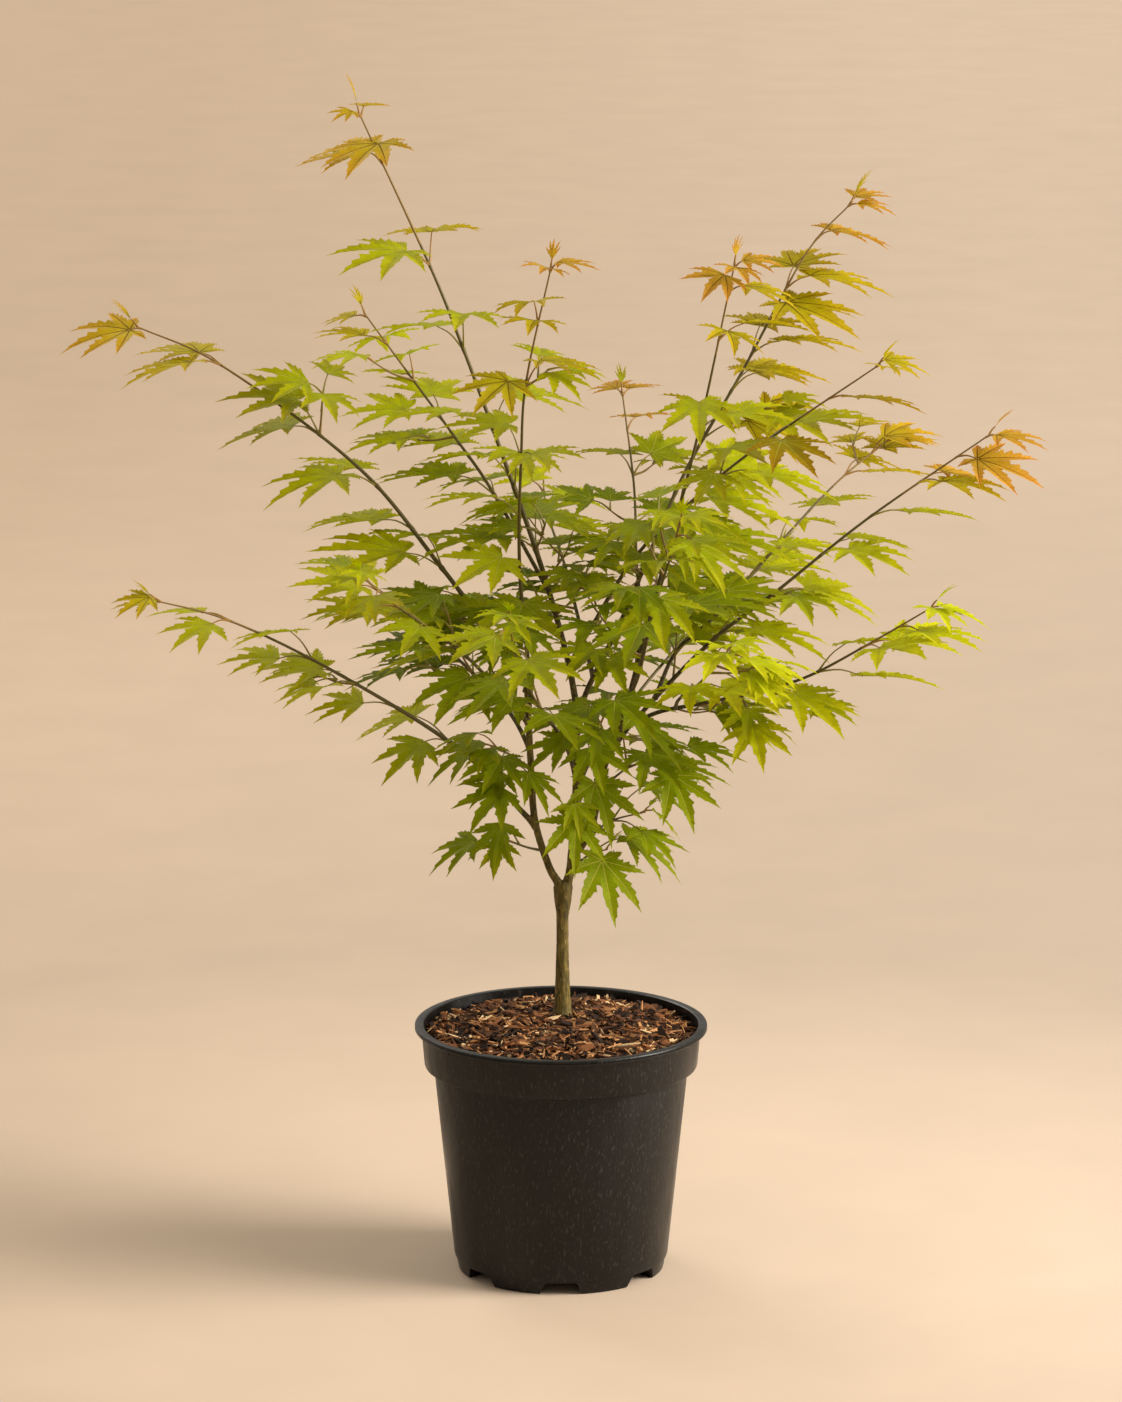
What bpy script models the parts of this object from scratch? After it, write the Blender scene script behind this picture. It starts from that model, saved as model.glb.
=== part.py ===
"""Potted lace-leaf maple: a young slender plant in a round black nursery pot.

The pot stands on z = 0 with its axis on Z. Metres, +Z up, -Y is the front.
"""

import math
import random

import bmesh
import bpy
from mathutils import Matrix, Vector
from mathutils.bvhtree import BVHTree

# ---- Driving dimensions -------------------------------------------------
GAP = 0.0003  # between pieces that touch

POT_HEIGHT = 0.241
LIP_RADIUS = 0.140
LIP_INNER_RADIUS = 0.1326
LIP_HEIGHT = 0.005
COLLAR_TOP_RADIUS = 0.1336
COLLAR_FOOT_RADIUS = 0.1308
COLLAR_HEIGHT = 0.041
BODY_TOP_RADIUS = 0.1216
SKIRT_RADIUS = 0.1023
FOOT_RADIUS = 0.0986
FOOT_HEIGHT = 0.013
FOOT_COUNT = 7
FOOT_DEPTH = 0.013  # radially
FOOT_GAP_TOP = 0.030  # between two feet, at the pot's floor
FOOT_GAP_BOTTOM = 0.042
BOSS_RADIUS = 0.020  # the flat support under the middle
WALL = 0.0022
CHAMFER = 0.0012
GAP_CUTTER_CLEAR = 0.006  # past the foot on both sides
GAP_CUTTER_BELOW = 0.002
GAP_ROOF = 0.0014  # between a foot gap and the pot's floor
POT_STEPS = 36

SOIL_EDGE_DROP = 0.012  # below the rim
SOIL_TOP = 0.2420
SOIL_MOUND = ((0, SOIL_TOP), (0.050, SOIL_TOP), (0.095, 0.2375), (0.118, 0.2320))

TRUNK_X = 0.0014
TRUNK_Y = 0.030
TRUNK_TOP = 0.367
TRUNK_SECTIONS = (  # height above the soil, radius
    (0.000, 0.0102),
    (0.006, 0.0086),
    (0.020, 0.0074),
    (0.046, 0.0065),
    (0.072, 0.0058),
    (0.104, 0.0059),
    (0.118, 0.0079),
)

# Stems: foot on the trunk or on another stem, guide points, radius at foot and top.
STEMS = {
    "stem_left": {
        "foot": (-0.0026, 0.030),
        "guides": ((-0.012, 0.030, 0.389), (-0.025, 0.028, 0.434), (-0.029, 0.026, 0.493),
                   (-0.032, 0.024, 0.560)),
        "radii": (0.0036, 0.0031),
    },
    "stem_centre": {
        "foot": (0.0060, 0.031),
        "guides": ((0.009, 0.032, 0.385), (0.012, 0.034, 0.426), (0.015, 0.036, 0.479),
                   (0.014, 0.038, 0.534)),
        "radii": (0.0040, 0.0033),
    },
    "stem_right": {
        "from": ("stem_centre", 0.16),
        "guides": ((0.029, 0.030, 0.425), (0.040, 0.031, 0.480), (0.049, 0.030, 0.503),
                   (0.055, 0.030, 0.521)),
        "radii": (0.0034, 0.0029),
    },
}

# Shoots: parent and share of its length, guide points, radius at foot and tip, shares of the
# length at which leaves stand, length of the middle lobe of the first and the last leaves, and
# for some the size of the pair at the tip, as a share of the last leaves, the degrees by which
# the first pair is turned round the shoot from level, and how strongly the leaves lean outward.
# The bough is the bare stretch below the first leaves and the foliage is the rest.
SHOOTS = {
    "left_low": {
        "from": ("stem_left", 0.33),
        "guides": ((-0.100, 0.001, 0.512), (-0.221, -0.043, 0.599), (-0.311, -0.076, 0.651),
                   (-0.378, -0.100, 0.675)),
        "radii": (0.0026, 0.0007), "leaves_at": (0.27, 0.41, 0.52, 0.63, 0.83), "lobes": (0.064, 0.052),
    },
    "left_mid": {
        "from": ("stem_left", 1.0),
        "guides": ((-0.055, 0.028, 0.601), (-0.115, 0.038, 0.680), (-0.193, 0.051, 0.773),
                   (-0.322, 0.070, 0.867), (-0.403, 0.080, 0.903)),
        "radii": (0.0028, 0.0007), "leaves_at": (0.19, 0.28, 0.37, 0.47, 0.61, 0.83),
        "lobes": (0.086, 0.070), "tip_pair": 0.95,
    },
    "left_front": {
        "from": ("stem_left", 0.84),
        "guides": ((-0.052, -0.004, 0.560), (-0.092, -0.044, 0.612), (-0.151, -0.129, 0.675),
                   (-0.183, -0.180, 0.714)),
        "radii": (0.0021, 0.0007), "leaves_at": (0.26, 0.42, 0.60, 0.77, 0.89), "lobes": (0.083, 0.058),
    },
    "leader": {
        "from": ("stem_centre", 1.0),
        "guides": ((0.003, 0.039, 0.602), (-0.023, 0.041, 0.692), (-0.064, 0.043, 0.810),
                   (-0.091, 0.045, 0.884), (-0.123, 0.047, 0.965), (-0.190, 0.050, 1.112)),
        "radii": (0.0031, 0.0007), "leaves_at": (0.27, 0.37, 0.47, 0.60, 0.74, 0.91),
        "lobes": (0.088, 0.078), "tip_pair": 0.4, "turn": 45, "lean": 0.1,
    },
    "leader_back": {
        "from": ("leader", 0.20),
        "guides": ((-0.065, 0.094, 0.740), (-0.102, 0.131, 0.787), (-0.191, 0.220, 0.893)),
        "radii": (0.0021, 0.0007), "leaves_at": (0.32, 0.46, 0.60, 0.74, 0.88), "lobes": (0.083, 0.056),
    },
    "centre_front": {
        "from": ("stem_left", 0.93),
        "guides": ((-0.029, 0.000, 0.570), (-0.039, -0.014, 0.690), (-0.037, -0.052, 0.805),
                   (-0.032, -0.078, 0.879), (-0.009, -0.120, 0.992)),
        "radii": (0.0022, 0.0007), "leaves_at": (0.19, 0.31, 0.44, 0.57, 0.73, 0.87),
        "lobes": (0.083, 0.054),
    },
    "right_high": {
        "from": ("stem_centre", 0.90),
        "guides": ((0.024, 0.052, 0.553), (0.060, 0.040, 0.632), (0.116, 0.060, 0.762),
                   (0.171, 0.077, 0.858), (0.232, 0.092, 0.970), (0.276, 0.100, 1.019)),
        "radii": (0.0028, 0.0007), "leaves_at": (0.31, 0.44, 0.54, 0.63, 0.70, 0.76, 0.82, 0.915),
        "lobes": (0.088, 0.072), "tip_pair": 0.6,
    },
    "right_front": {
        "from": ("stem_right", 1.0),
        "guides": ((0.075, 0.012, 0.599), (0.100, -0.015, 0.704), (0.129, -0.051, 0.828),
                   (0.160, -0.100, 0.992)),
        "radii": (0.0025, 0.0007), "leaves_at": (0.39, 0.52, 0.65, 0.84, 0.94),
        "lobes": (0.083, 0.052),
    },
    "back_centre": {
        "from": ("right_front", 0.14),
        "guides": ((0.076, 0.044, 0.632), (0.072, 0.078, 0.677), (0.070, 0.130, 0.740),
                   (0.059, 0.200, 0.820)),
        "radii": (0.0019, 0.0007), "leaves_at": (0.32, 0.50, 0.68, 0.85), "lobes": (0.077, 0.050),
    },
    "right_fore": {
        "from": ("leader", 0.08),
        "guides": ((0.026, 0.015, 0.620), (0.072, -0.012, 0.701), (0.132, -0.064, 0.771),
                   (0.184, -0.109, 0.823), (0.290, -0.200, 0.915)),
        "radii": (0.0022, 0.0007), "leaves_at": (0.29, 0.42, 0.55, 0.69, 0.86), "lobes": (0.086, 0.060),
    },
    "right_mid": {
        "from": ("stem_right", 0.88),
        "guides": ((0.075, 0.036, 0.535), (0.142, 0.023, 0.609), (0.204, 0.018, 0.659),
                   (0.291, 0.010, 0.732), (0.404, 0.000, 0.814)),
        "radii": (0.0024, 0.0007), "leaves_at": (0.31, 0.45, 0.58, 0.71, 0.83, 0.92),
        "lobes": (0.083, 0.062), "tip_pair": 1.0,
    },
    "right_back": {
        "from": ("right_mid", 0.13),
        "guides": ((0.110, 0.072, 0.588), (0.150, 0.096, 0.621), (0.217, 0.146, 0.687),
                   (0.269, 0.185, 0.734), (0.321, 0.220, 0.770)),
        "radii": (0.0021, 0.0007), "leaves_at": (0.30, 0.43, 0.56, 0.69, 0.83, 0.93),
        "lobes": (0.083, 0.058),
    },
    "right_low": {
        "from": ("right_mid", 0.06),
        "guides": ((0.096, 0.004, 0.546), (0.137, -0.005, 0.556), (0.196, -0.034, 0.576),
                   (0.237, -0.055, 0.595), (0.290, -0.086, 0.632), (0.345, -0.120, 0.673)),
        "radii": (0.0022, 0.0007), "leaves_at": (0.28, 0.44, 0.60, 0.75, 0.88), "lobes": (0.076, 0.066),
    },
    "right_fringe": {
        "from": ("right_low", 0.17),
        "guides": ((0.112, -0.048, 0.570), (0.132, -0.122, 0.604), (0.155, -0.215, 0.655)),
        "radii": (0.0018, 0.0007), "leaves_at": (0.42, 0.66, 0.86), "lobes": (0.070, 0.052),
    },
    "front_left": {
        "from": ("stem_centre", 0.62),
        "guides": ((0.003, -0.016, 0.520), (-0.026, -0.110, 0.585), (-0.042, -0.215, 0.650),
                   (-0.046, -0.320, 0.705)),
        "radii": (0.0021, 0.0007), "leaves_at": (0.36, 0.54, 0.72, 0.88), "lobes": (0.080, 0.058),
    },
    "front_right": {
        "from": ("right_front", 0.07),
        "guides": ((0.074, -0.022, 0.590), (0.086, -0.115, 0.668), (0.100, -0.215, 0.740),
                   (0.108, -0.305, 0.792)),
        "radii": (0.0020, 0.0007), "leaves_at": (0.36, 0.54, 0.72, 0.88), "lobes": (0.080, 0.058),
    },
    "back_left": {
        "from": ("stem_left", 0.72),
        "guides": ((-0.052, 0.062, 0.535), (-0.105, 0.150, 0.570), (-0.165, 0.235, 0.605),
                   (-0.215, 0.300, 0.628)),
        "radii": (0.0021, 0.0007), "leaves_at": (0.34, 0.52, 0.70, 0.87), "lobes": (0.080, 0.058), "turn": 25,
    },
    "back_high": {
        "from": ("right_high", 0.10),
        "guides": ((0.020, 0.098, 0.602), (0.004, 0.180, 0.650), (-0.014, 0.270, 0.688),
                   (-0.018, 0.345, 0.712)),
        "radii": (0.0021, 0.0007), "leaves_at": (0.34, 0.52, 0.70, 0.87), "lobes": (0.080, 0.058),
    },
    "back_right": {
        "from": ("stem_centre", 0.56),
        "guides": ((0.034, 0.070, 0.492), (0.092, 0.160, 0.550), (0.160, 0.240, 0.604),
                   (0.215, 0.300, 0.640)),
        "radii": (0.0021, 0.0007), "leaves_at": (0.34, 0.52, 0.70, 0.87), "lobes": (0.080, 0.058),
    },
    "sprig_left": {
        "from": ("stem_left", 0.20),
        "guides": ((-0.034, 0.010, 0.412), (-0.056, -0.018, 0.428)),
        "radii": (0.0012, 0.0007), "leaves_at": (0.55,), "lobes": (0.056, 0.050), "bough": False,
    },
    "sprig_right": {
        "from": ("stem_right", 0.16),
        "guides": ((0.046, 0.012, 0.436), (0.080, -0.014, 0.452)),
        "radii": (0.0012, 0.0007), "leaves_at": (0.50,), "lobes": (0.060, 0.050), "bough": False,
    },
    "sprig_front": {
        "from": ("stem_left", 0.62),
        "guides": ((-0.048, -0.008, 0.506), (-0.066, -0.044, 0.522)),
        "radii": (0.0013, 0.0007), "leaves_at": (0.50, 0.80), "lobes": (0.066, 0.050),
        "bough": False,
    },
    "sprig_centre": {
        "from": ("stem_centre", 0.42),
        "guides": ((0.016, -0.016, 0.458), (0.008, -0.054, 0.470)),
        "radii": (0.0013, 0.0007), "leaves_at": (0.55,), "lobes": (0.063, 0.050), "bough": False,
    },
    "sprig_fore_right": {
        "from": ("stem_right", 0.55),
        "guides": ((0.068, 0.000, 0.494), (0.104, -0.032, 0.506)),
        "radii": (0.0013, 0.0007), "leaves_at": (0.45, 0.75), "lobes": (0.075, 0.060),
        "bough": False, "turn": 40,
    },
    "sprig_high": {
        "from": ("stem_right", 0.80),
        "guides": ((0.040, -0.010, 0.530), (0.035, -0.045, 0.550)),
        "radii": (0.0013, 0.0007), "leaves_at": (0.50, 0.80), "lobes": (0.075, 0.060),
        "bough": False,
    },
    "sprig_low": {
        "from": ("stem_centre", 0.10),
        "guides": ((0.026, 0.008, 0.404), (0.044, -0.016, 0.416)),
        "radii": (0.0013, 0.0007), "leaves_at": (0.55,), "lobes": (0.070, 0.060), "bough": False,
    },
}

# Leaves: a palmate blade on a thin stalk. Lobe and notch angles are from the middle lobe.
LOBES = ((0, 1.00), (33, 0.90), (70, 0.66), (114, 0.37))
NOTCHES = ((16.5, 0.31), (51, 0.27), (91, 0.21))
BLADE_FOOT = (165, 0.05)  # angle and reach of the two points beside the stalk
SMALL_LOBE = 0.062  # a smaller leaf has no back lobes
BLADE_HALF_THICKNESS = 0.006  # of the middle lobe's length
BLADE_SAG = 0.13  # how far the lobe tips hang, of the middle lobe's length
BLADE_FOLD = 0.10  # how far the sides rise from the midrib
STALK_RADIUS = 0.0007
END_STALK = 0.010
STALK_LENGTH = (0.040, 0.012)  # at the first and the last leaves
STALK_HOLD = 3  # how long along the shoot the stalks keep their first length
STALK_RISE = (34, 62)  # degrees towards the shoot's tip
OUTWARD_LEAN = 0.55  # how strongly a stalk turns away from the plant's middle
LEAST_SIDE = 0.05  # a direction with a shorter level part counts as upright
LOWEST_AWAY = -0.25  # a stalk that would leave lower than this
LEVELLING = 0.9  # is turned towards level by this much
LOW_DROOP = (16, 52)  # degrees that a blade hangs below level, at the foot of the crown
HIGH_DROOP = (-10, 14)  # and from the level where its layers lie flat
CROWN_FOOT = 0.44
FLAT_FROM = 0.60
LEAST_NOD = -6  # of a blade below the line of its stalk
END_DROOP = -90  # the leaf that ends a shoot stands nearly in line with it
END_SPREAD = 0.45  # and its lobes are still nearly closed
END_LOBE = 0.42  # of the last leaves' size
END_LIFT = 0.6  # how strongly it turns up
END_SUNK = 0.002  # its stalk starts this far inside the shoot
TIP_PAIR_BACK = 0.006  # the last pair stands this far below the tip
TIP_PAIR = 0.75  # and has this share of the last leaves' size
BLADE_ROLL = 15
LEAF_TURN = 24  # spread of the leaf's place round the shoot
LEAF_TRIES = 10
SIZE_SPREAD = 0.12
CLEAR_THICKNESS = 0.0022  # of the blade that is tried for room
CLEAR_GROWTH = 1.03
STALK_CLEAR = 0.0045  # the stalk is tried for room from here on

SPUR_SHARE = 0.12  # of the leaf places that carry a side twig as well
SPUR_END = 0.75  # none stands further along the leafy part
SPUR_AIM = (0.8, 0.6)  # out from the shoot, and along it
SPUR_LENGTH = (0.028, 0.055)
SPUR_RADII = (0.0009, 0.0007)
SPUR_CLEAR = 0.0016  # radius that is tried for room
SPUR_LEAF = (0.72, 0.5)  # size and stalk, of the shoot's own leaves there
SPUR_PAIR_BACK = 0.003

LIMB_SPACING = 0.021  # between the sections of a stem or bough
TWIG_SPACING = 0.055
BARE_END = 0.008  # a bough stops this far below its first leaves
UPRIGHT = 0.004  # the first stretch of a stem that stands on the trunk
STRAIGHT_ON = 0.015  # a shoot that carries its parent on starts in line with it
DENSE = 24  # steps between two guide points


# ---- Materials and collections -----------------------------------------
def material(name, colour, roughness):
    made = bpy.data.materials.new(name)
    made.use_nodes = True
    shader = made.node_tree.nodes["Principled BSDF"]
    shader.inputs["Base Color"].default_value = (*colour, 1.0)
    shader.inputs["Roughness"].default_value = roughness
    shader.inputs["Metallic"].default_value = 0.0
    return made


def collection(name):
    made = bpy.data.collections.new(name)
    bpy.context.scene.collection.children.link(made)
    return made


def place(name, mesh, into, finish=None):
    made = bpy.data.objects.new(name, mesh)
    into.objects.link(made)
    if finish:
        mesh.materials.clear()
        mesh.materials.append(finish)
    return made


# ---- Pot and soil -------------------------------------------------------
def inner_wall():
    """Radius and height from the pot's floor up to the lip."""
    floor = FOOT_HEIGHT + WALL
    shoulder = POT_HEIGHT - COLLAR_HEIGHT
    return (
        (SKIRT_RADIUS - 2 * WALL, floor),
        (BODY_TOP_RADIUS - WALL, shoulder - WALL),
        (COLLAR_FOOT_RADIUS - WALL, shoulder + 1.5 * WALL),
        (COLLAR_TOP_RADIUS - WALL, POT_HEIGHT - LIP_HEIGHT),
        (LIP_INNER_RADIUS - 0.4 * WALL, POT_HEIGHT - 0.4 * WALL),
    )


def outer_wall():
    """Radius and height from the lip down to the underside of the boss."""
    shoulder = POT_HEIGHT - COLLAR_HEIGHT
    return (
        (LIP_INNER_RADIUS + 0.2 * WALL, POT_HEIGHT),
        (LIP_RADIUS - CHAMFER, POT_HEIGHT),
        (LIP_RADIUS, POT_HEIGHT - CHAMFER),
        (LIP_RADIUS, POT_HEIGHT - LIP_HEIGHT + CHAMFER / 2),
        (LIP_RADIUS - CHAMFER, POT_HEIGHT - LIP_HEIGHT),
        (COLLAR_TOP_RADIUS, POT_HEIGHT - LIP_HEIGHT - CHAMFER / 2),
        (COLLAR_FOOT_RADIUS, shoulder + 2 * CHAMFER),
        (COLLAR_FOOT_RADIUS - CHAMFER, shoulder + CHAMFER / 2),
        (COLLAR_FOOT_RADIUS - 3 * CHAMFER, shoulder),
        (BODY_TOP_RADIUS, shoulder - CHAMFER),
        (SKIRT_RADIUS, FOOT_HEIGHT),
        (SKIRT_RADIUS - CHAMFER, FOOT_HEIGHT - CHAMFER / 2),
        (FOOT_RADIUS, 0),
        (FOOT_RADIUS - FOOT_DEPTH, 0),
        (FOOT_RADIUS - FOOT_DEPTH - CHAMFER, FOOT_HEIGHT - CHAMFER),
        (BOSS_RADIUS + CHAMFER, FOOT_HEIGHT - CHAMFER),
        (BOSS_RADIUS, 0),
    )


def turned(name, profile, into, finish):
    """A profile of (radius, height) pairs turned about Z; it starts and ends on the axis."""
    mesh = bpy.data.meshes.new(name)
    points = [(radius, 0, height) for radius, height in profile]
    mesh.from_pydata(points, [(i, i + 1) for i in range(len(points) - 1)], [])
    made = place(name, mesh, into, finish)
    screw = made.modifiers.new("turn", "SCREW")
    screw.axis = "Z"
    screw.steps = POT_STEPS
    screw.render_steps = POT_STEPS
    screw.use_merge_vertices = True
    screw.merge_threshold = 0.00005
    screw.use_smooth_shade = False
    return made


def foot_gap_cutter(index, into):
    """A wedge that opens downwards between two feet."""
    mesh = bpy.data.meshes.new("foot_gap")
    shape = bmesh.new()
    bmesh.ops.create_cube(shape, size=1)
    top = FOOT_HEIGHT - GAP_ROOF
    bottom = -GAP_CUTTER_BELOW
    inside = FOOT_RADIUS - FOOT_DEPTH - GAP_CUTTER_CLEAR
    outside = SKIRT_RADIUS + GAP_CUTTER_CLEAR
    for corner in shape.verts:
        high = corner.co.z > 0
        width = FOOT_GAP_TOP if high else FOOT_GAP_BOTTOM
        corner.co.x = outside if corner.co.x > 0 else inside
        corner.co.y *= width
        corner.co.z = top if high else bottom
    turn = math.radians(-90 + index * 360 / FOOT_COUNT)
    shape.transform(Matrix.Rotation(turn, 4, "Z"))
    shape.to_mesh(mesh)
    shape.free()
    cutter = place(f"foot_gap_cutter_{index + 1}", mesh, into)
    cutter.hide_render = True
    cutter.display_type = "WIRE"


def build_pot(into, cutters, finish):
    floor = FOOT_HEIGHT + WALL
    profile = ((0, floor), *inner_wall(), *outer_wall(), (0, 0))
    pot = turned("pot", profile, into, finish)
    for index in range(FOOT_COUNT):
        foot_gap_cutter(index, cutters)
    cut = pot.modifiers.new("foot_gaps", "BOOLEAN")
    cut.operation = "DIFFERENCE"
    cut.operand_type = "COLLECTION"
    cut.collection = cutters


def build_soil(into, finish):
    edge = POT_HEIGHT - SOIL_EDGE_DROP
    wall = [(radius - GAP, height + GAP) for radius, height in inner_wall()]
    lower, upper = wall[2], wall[3]
    share = (edge - lower[1]) / (upper[1] - lower[1])
    rim = (lower[0] + share * (upper[0] - lower[0]), edge)
    turned("soil", (*SOIL_MOUND, rim, *reversed(wall[:3]), (0, wall[0][1])), into, finish)


# ---- Limbs --------------------------------------------------------------
def smooth_path(guides):
    """Closely spaced points on a smooth curve through the guide points."""
    ends = [2 * guides[0] - guides[1], *guides, 2 * guides[-1] - guides[-2]]
    path = []
    for before, start, end, after in zip(ends, ends[1:], ends[2:], ends[3:]):
        for step in range(DENSE):
            t = step / DENSE
            path.append(
                0.5 * (2 * start + (end - before) * t
                       + (2 * before - 5 * start + 4 * end - after) * t**2
                       + (3 * start - before - 3 * end + after) * t**3)
            )
    return [*path, guides[-1]]


def lengths(path):
    total = [0.0]
    for start, end in zip(path, path[1:]):
        total.append(total[-1] + (end - start).length)
    return total


def point_at(path, distance):
    """The point at this distance along the path, and the path's direction there."""
    total = lengths(path)
    index = 0
    while index < len(path) - 2 and total[index + 1] < distance:
        index += 1
    step = total[index + 1] - total[index]
    share = (distance - total[index]) / step
    return path[index].lerp(path[index + 1], share), (path[index + 1] - path[index]).normalized()


class Limb:
    """A tapering limb: a smooth path and a radius at each end."""

    def __init__(self, guides, radii):
        self.path = smooth_path([Vector(point) for point in guides])
        self.length = lengths(self.path)[-1]
        self.radii = radii

    def at(self, distance):
        return point_at(self.path, distance)

    def radius(self, distance):
        share = min(max(distance / self.length, 0), 1)
        return self.radii[0] + (self.radii[1] - self.radii[0]) * share

    def stretch(self, stops, spacing):
        """(point, radius) pairs at each stop, and evenly between two stops."""
        marks = [stops[0]]
        for start, end in zip(stops, stops[1:]):
            steps = max(1, round((end - start) / spacing))
            marks += [start + (end - start) * (i + 1) / steps for i in range(steps)]
        return [(self.at(mark)[0], self.radius(mark)) for mark in marks]


def foot_distance(limb, parent_tree):
    """How far along its path a side limb starts, so that its foot just clears its parent."""
    start = 0.0
    while start < limb.length:
        centre, direction = limb.at(start)
        across = direction.orthogonal().normalized()
        for turn in range(0, 360, 15):
            out = Matrix.Rotation(math.radians(turn), 3, direction) @ across
            point = centre + out * limb.radii[0]
            near, normal, _, distance = parent_tree.find_nearest(point)
            if distance < GAP or (point - near).dot(normal) < 0:
                break
        else:
            return start
        start += GAP
    return start


def tree_of(mesh):
    points = [vertex.co.copy() for vertex in mesh.vertices]
    return BVHTree.FromPolygons(points, [tuple(face.vertices) for face in mesh.polygons])


def tube(name, sections, resolution, into, finish=None):
    """A closed tube through (point, radius) sections, as a mesh."""
    curve = bpy.data.curves.new(name, "CURVE")
    curve.dimensions = "3D"
    curve.bevel_depth = 1.0
    curve.bevel_resolution = resolution
    curve.use_fill_caps = True
    spline = curve.splines.new("POLY")
    spline.points.add(len(sections) - 1)
    for point, (place_at, radius) in zip(spline.points, sections):
        point.co = (*place_at, 1.0)
        point.radius = radius
    drawn = bpy.data.objects.new(name, curve)
    into.objects.link(drawn)
    graph = bpy.context.evaluated_depsgraph_get()
    mesh = bpy.data.meshes.new_from_object(drawn.evaluated_get(graph))
    bpy.data.objects.remove(drawn)
    bpy.data.curves.remove(curve)
    shape = bmesh.new()
    shape.from_mesh(mesh)
    bmesh.ops.remove_doubles(shape, verts=shape.verts, dist=0.000001)
    bmesh.ops.recalc_face_normals(shape, faces=shape.faces)
    shape.to_mesh(mesh)
    shape.free()
    mesh.name = name
    return place(name, mesh, into, finish)


def build_trunk(into, finish):
    base = SOIL_TOP + GAP
    sections = [(Vector((TRUNK_X, TRUNK_Y, base + up)), radius) for up, radius in TRUNK_SECTIONS]
    sections.append((Vector((TRUNK_X, TRUNK_Y, TRUNK_TOP)), TRUNK_SECTIONS[-1][1]))
    return tube("trunk", sections, 4, into, finish)


def grow_limb(plan, limbs, trees):
    """A stem or shoot as a Limb, and the distance along it at which its wood starts."""
    if "foot" in plan:
        foot = Vector((*plan["foot"], TRUNK_TOP + GAP))
        guides = (foot, foot + Vector((0, 0, UPRIGHT)), *plan["guides"])
        return Limb(guides, plan["radii"]), 0.0
    parent_name, share = plan["from"]
    parent = limbs[parent_name]
    root, along = parent.at(share * parent.length)
    if share == 1:
        guides = (root, root + along * STRAIGHT_ON, *plan["guides"])
        return Limb(guides, plan["radii"]), 2 * GAP
    limb = Limb((root, *plan["guides"]), plan["radii"])
    return limb, foot_distance(limb, trees[parent_name])


# ---- Leaves -------------------------------------------------------------
class Leaf:
    """One leaf's size, place and turn: root on the shoot, hub where the lobes meet."""

    def __init__(self, root, stalk, droop, roll, lobe, spread=1.0):
        self.root = root
        self.spread = spread
        self.hub = root + stalk
        self.lobe = lobe
        heading = stalk.normalized()
        nod = max(math.asin(heading.z) + droop, math.radians(LEAST_NOD))
        side = heading.cross(Vector((0, 0, 1)))
        side = side.normalized() if side.length > LEAST_SIDE else Vector((1, 0, 0))
        self.axis = Matrix.Rotation(-nod, 3, side) @ heading
        self.side = Matrix.Rotation(roll, 3, self.axis) @ side
        self.normal = self.side.cross(self.axis).normalized()

    def at(self, angle, reach):
        """A point of the blade: angle from the middle lobe, reach in lobe lengths."""
        along = reach * math.cos(angle)
        across = reach * math.sin(angle)
        height = BLADE_FOLD * abs(across) - BLADE_SAG * reach**2
        return self.hub + self.lobe * (self.axis * along + self.side * across + self.normal * height)


def blade_outline(leaf):
    """(angle, reach) of the outline, from one side of the stalk round to the other."""
    pairs = len(NOTCHES) if leaf.lobe > SMALL_LOBE else len(NOTCHES) - 1
    half = sorted([*LOBES[1 : pairs + 1], *NOTCHES[:pairs]])
    right = [(math.radians(angle * leaf.spread), reach) for angle, reach in half]
    right.append((math.radians(BLADE_FOOT[0]), BLADE_FOOT[1]))
    left = [(-angle, reach) for angle, reach in reversed(right)]
    return [*left, (0.0, LOBES[0][1]), *right]


def leaf_faces(leaf, thickness, growth, stalk_from):
    """Points and triangles of a blade that thins to its edge, and its three-sided stalk."""
    outline = [leaf.at(angle, reach * growth) for angle, reach in blade_outline(leaf)]
    count = len(outline)
    top = leaf.hub + leaf.normal * thickness
    bottom = leaf.hub - leaf.normal * thickness
    points = [*outline, top, bottom]
    over, under, last = count, count + 1, count - 1
    faces = [(over, i, i + 1) for i in range(last)] + [(over, last, 0)]
    faces += [(under, i + 1, i) for i in range(last)]
    inward = leaf.root - leaf.hub
    foot = leaf.hub + inward * (1 - stalk_from / inward.length)
    aim = inward.normalized()
    across = (outline[last] - outline[0]).normalized()
    across = (across - aim * across.dot(aim)).normalized()
    depth = aim.cross(across)
    if depth.dot(bottom - outline[0]) < 0:
        depth = -depth
    first = len(points)
    points += [
        foot - across * STALK_RADIUS - depth * STALK_RADIUS / 2,
        foot + across * STALK_RADIUS - depth * STALK_RADIUS / 2,
        foot + depth * STALK_RADIUS,
    ]
    ring, end = (0, last, under), (first, first + 1, first + 2)
    for i in range(3):
        j = (i + 1) % 3
        faces += [(ring[i], ring[j], end[j]), (ring[i], end[j], end[i])]
    faces.append((end[0], end[1], end[2]))
    return points, faces


def leaf_object(name, leaf, into):
    mesh = bpy.data.meshes.new(name)
    points, faces = leaf_faces(leaf, BLADE_HALF_THICKNESS * leaf.lobe, 1.0, 0.0)
    mesh.from_pydata(points, [], faces)
    shape = bmesh.new()
    shape.from_mesh(mesh)
    bmesh.ops.recalc_face_normals(shape, faces=shape.faces)
    shape.to_mesh(mesh)
    shape.free()
    return place(name, mesh, into)


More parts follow.
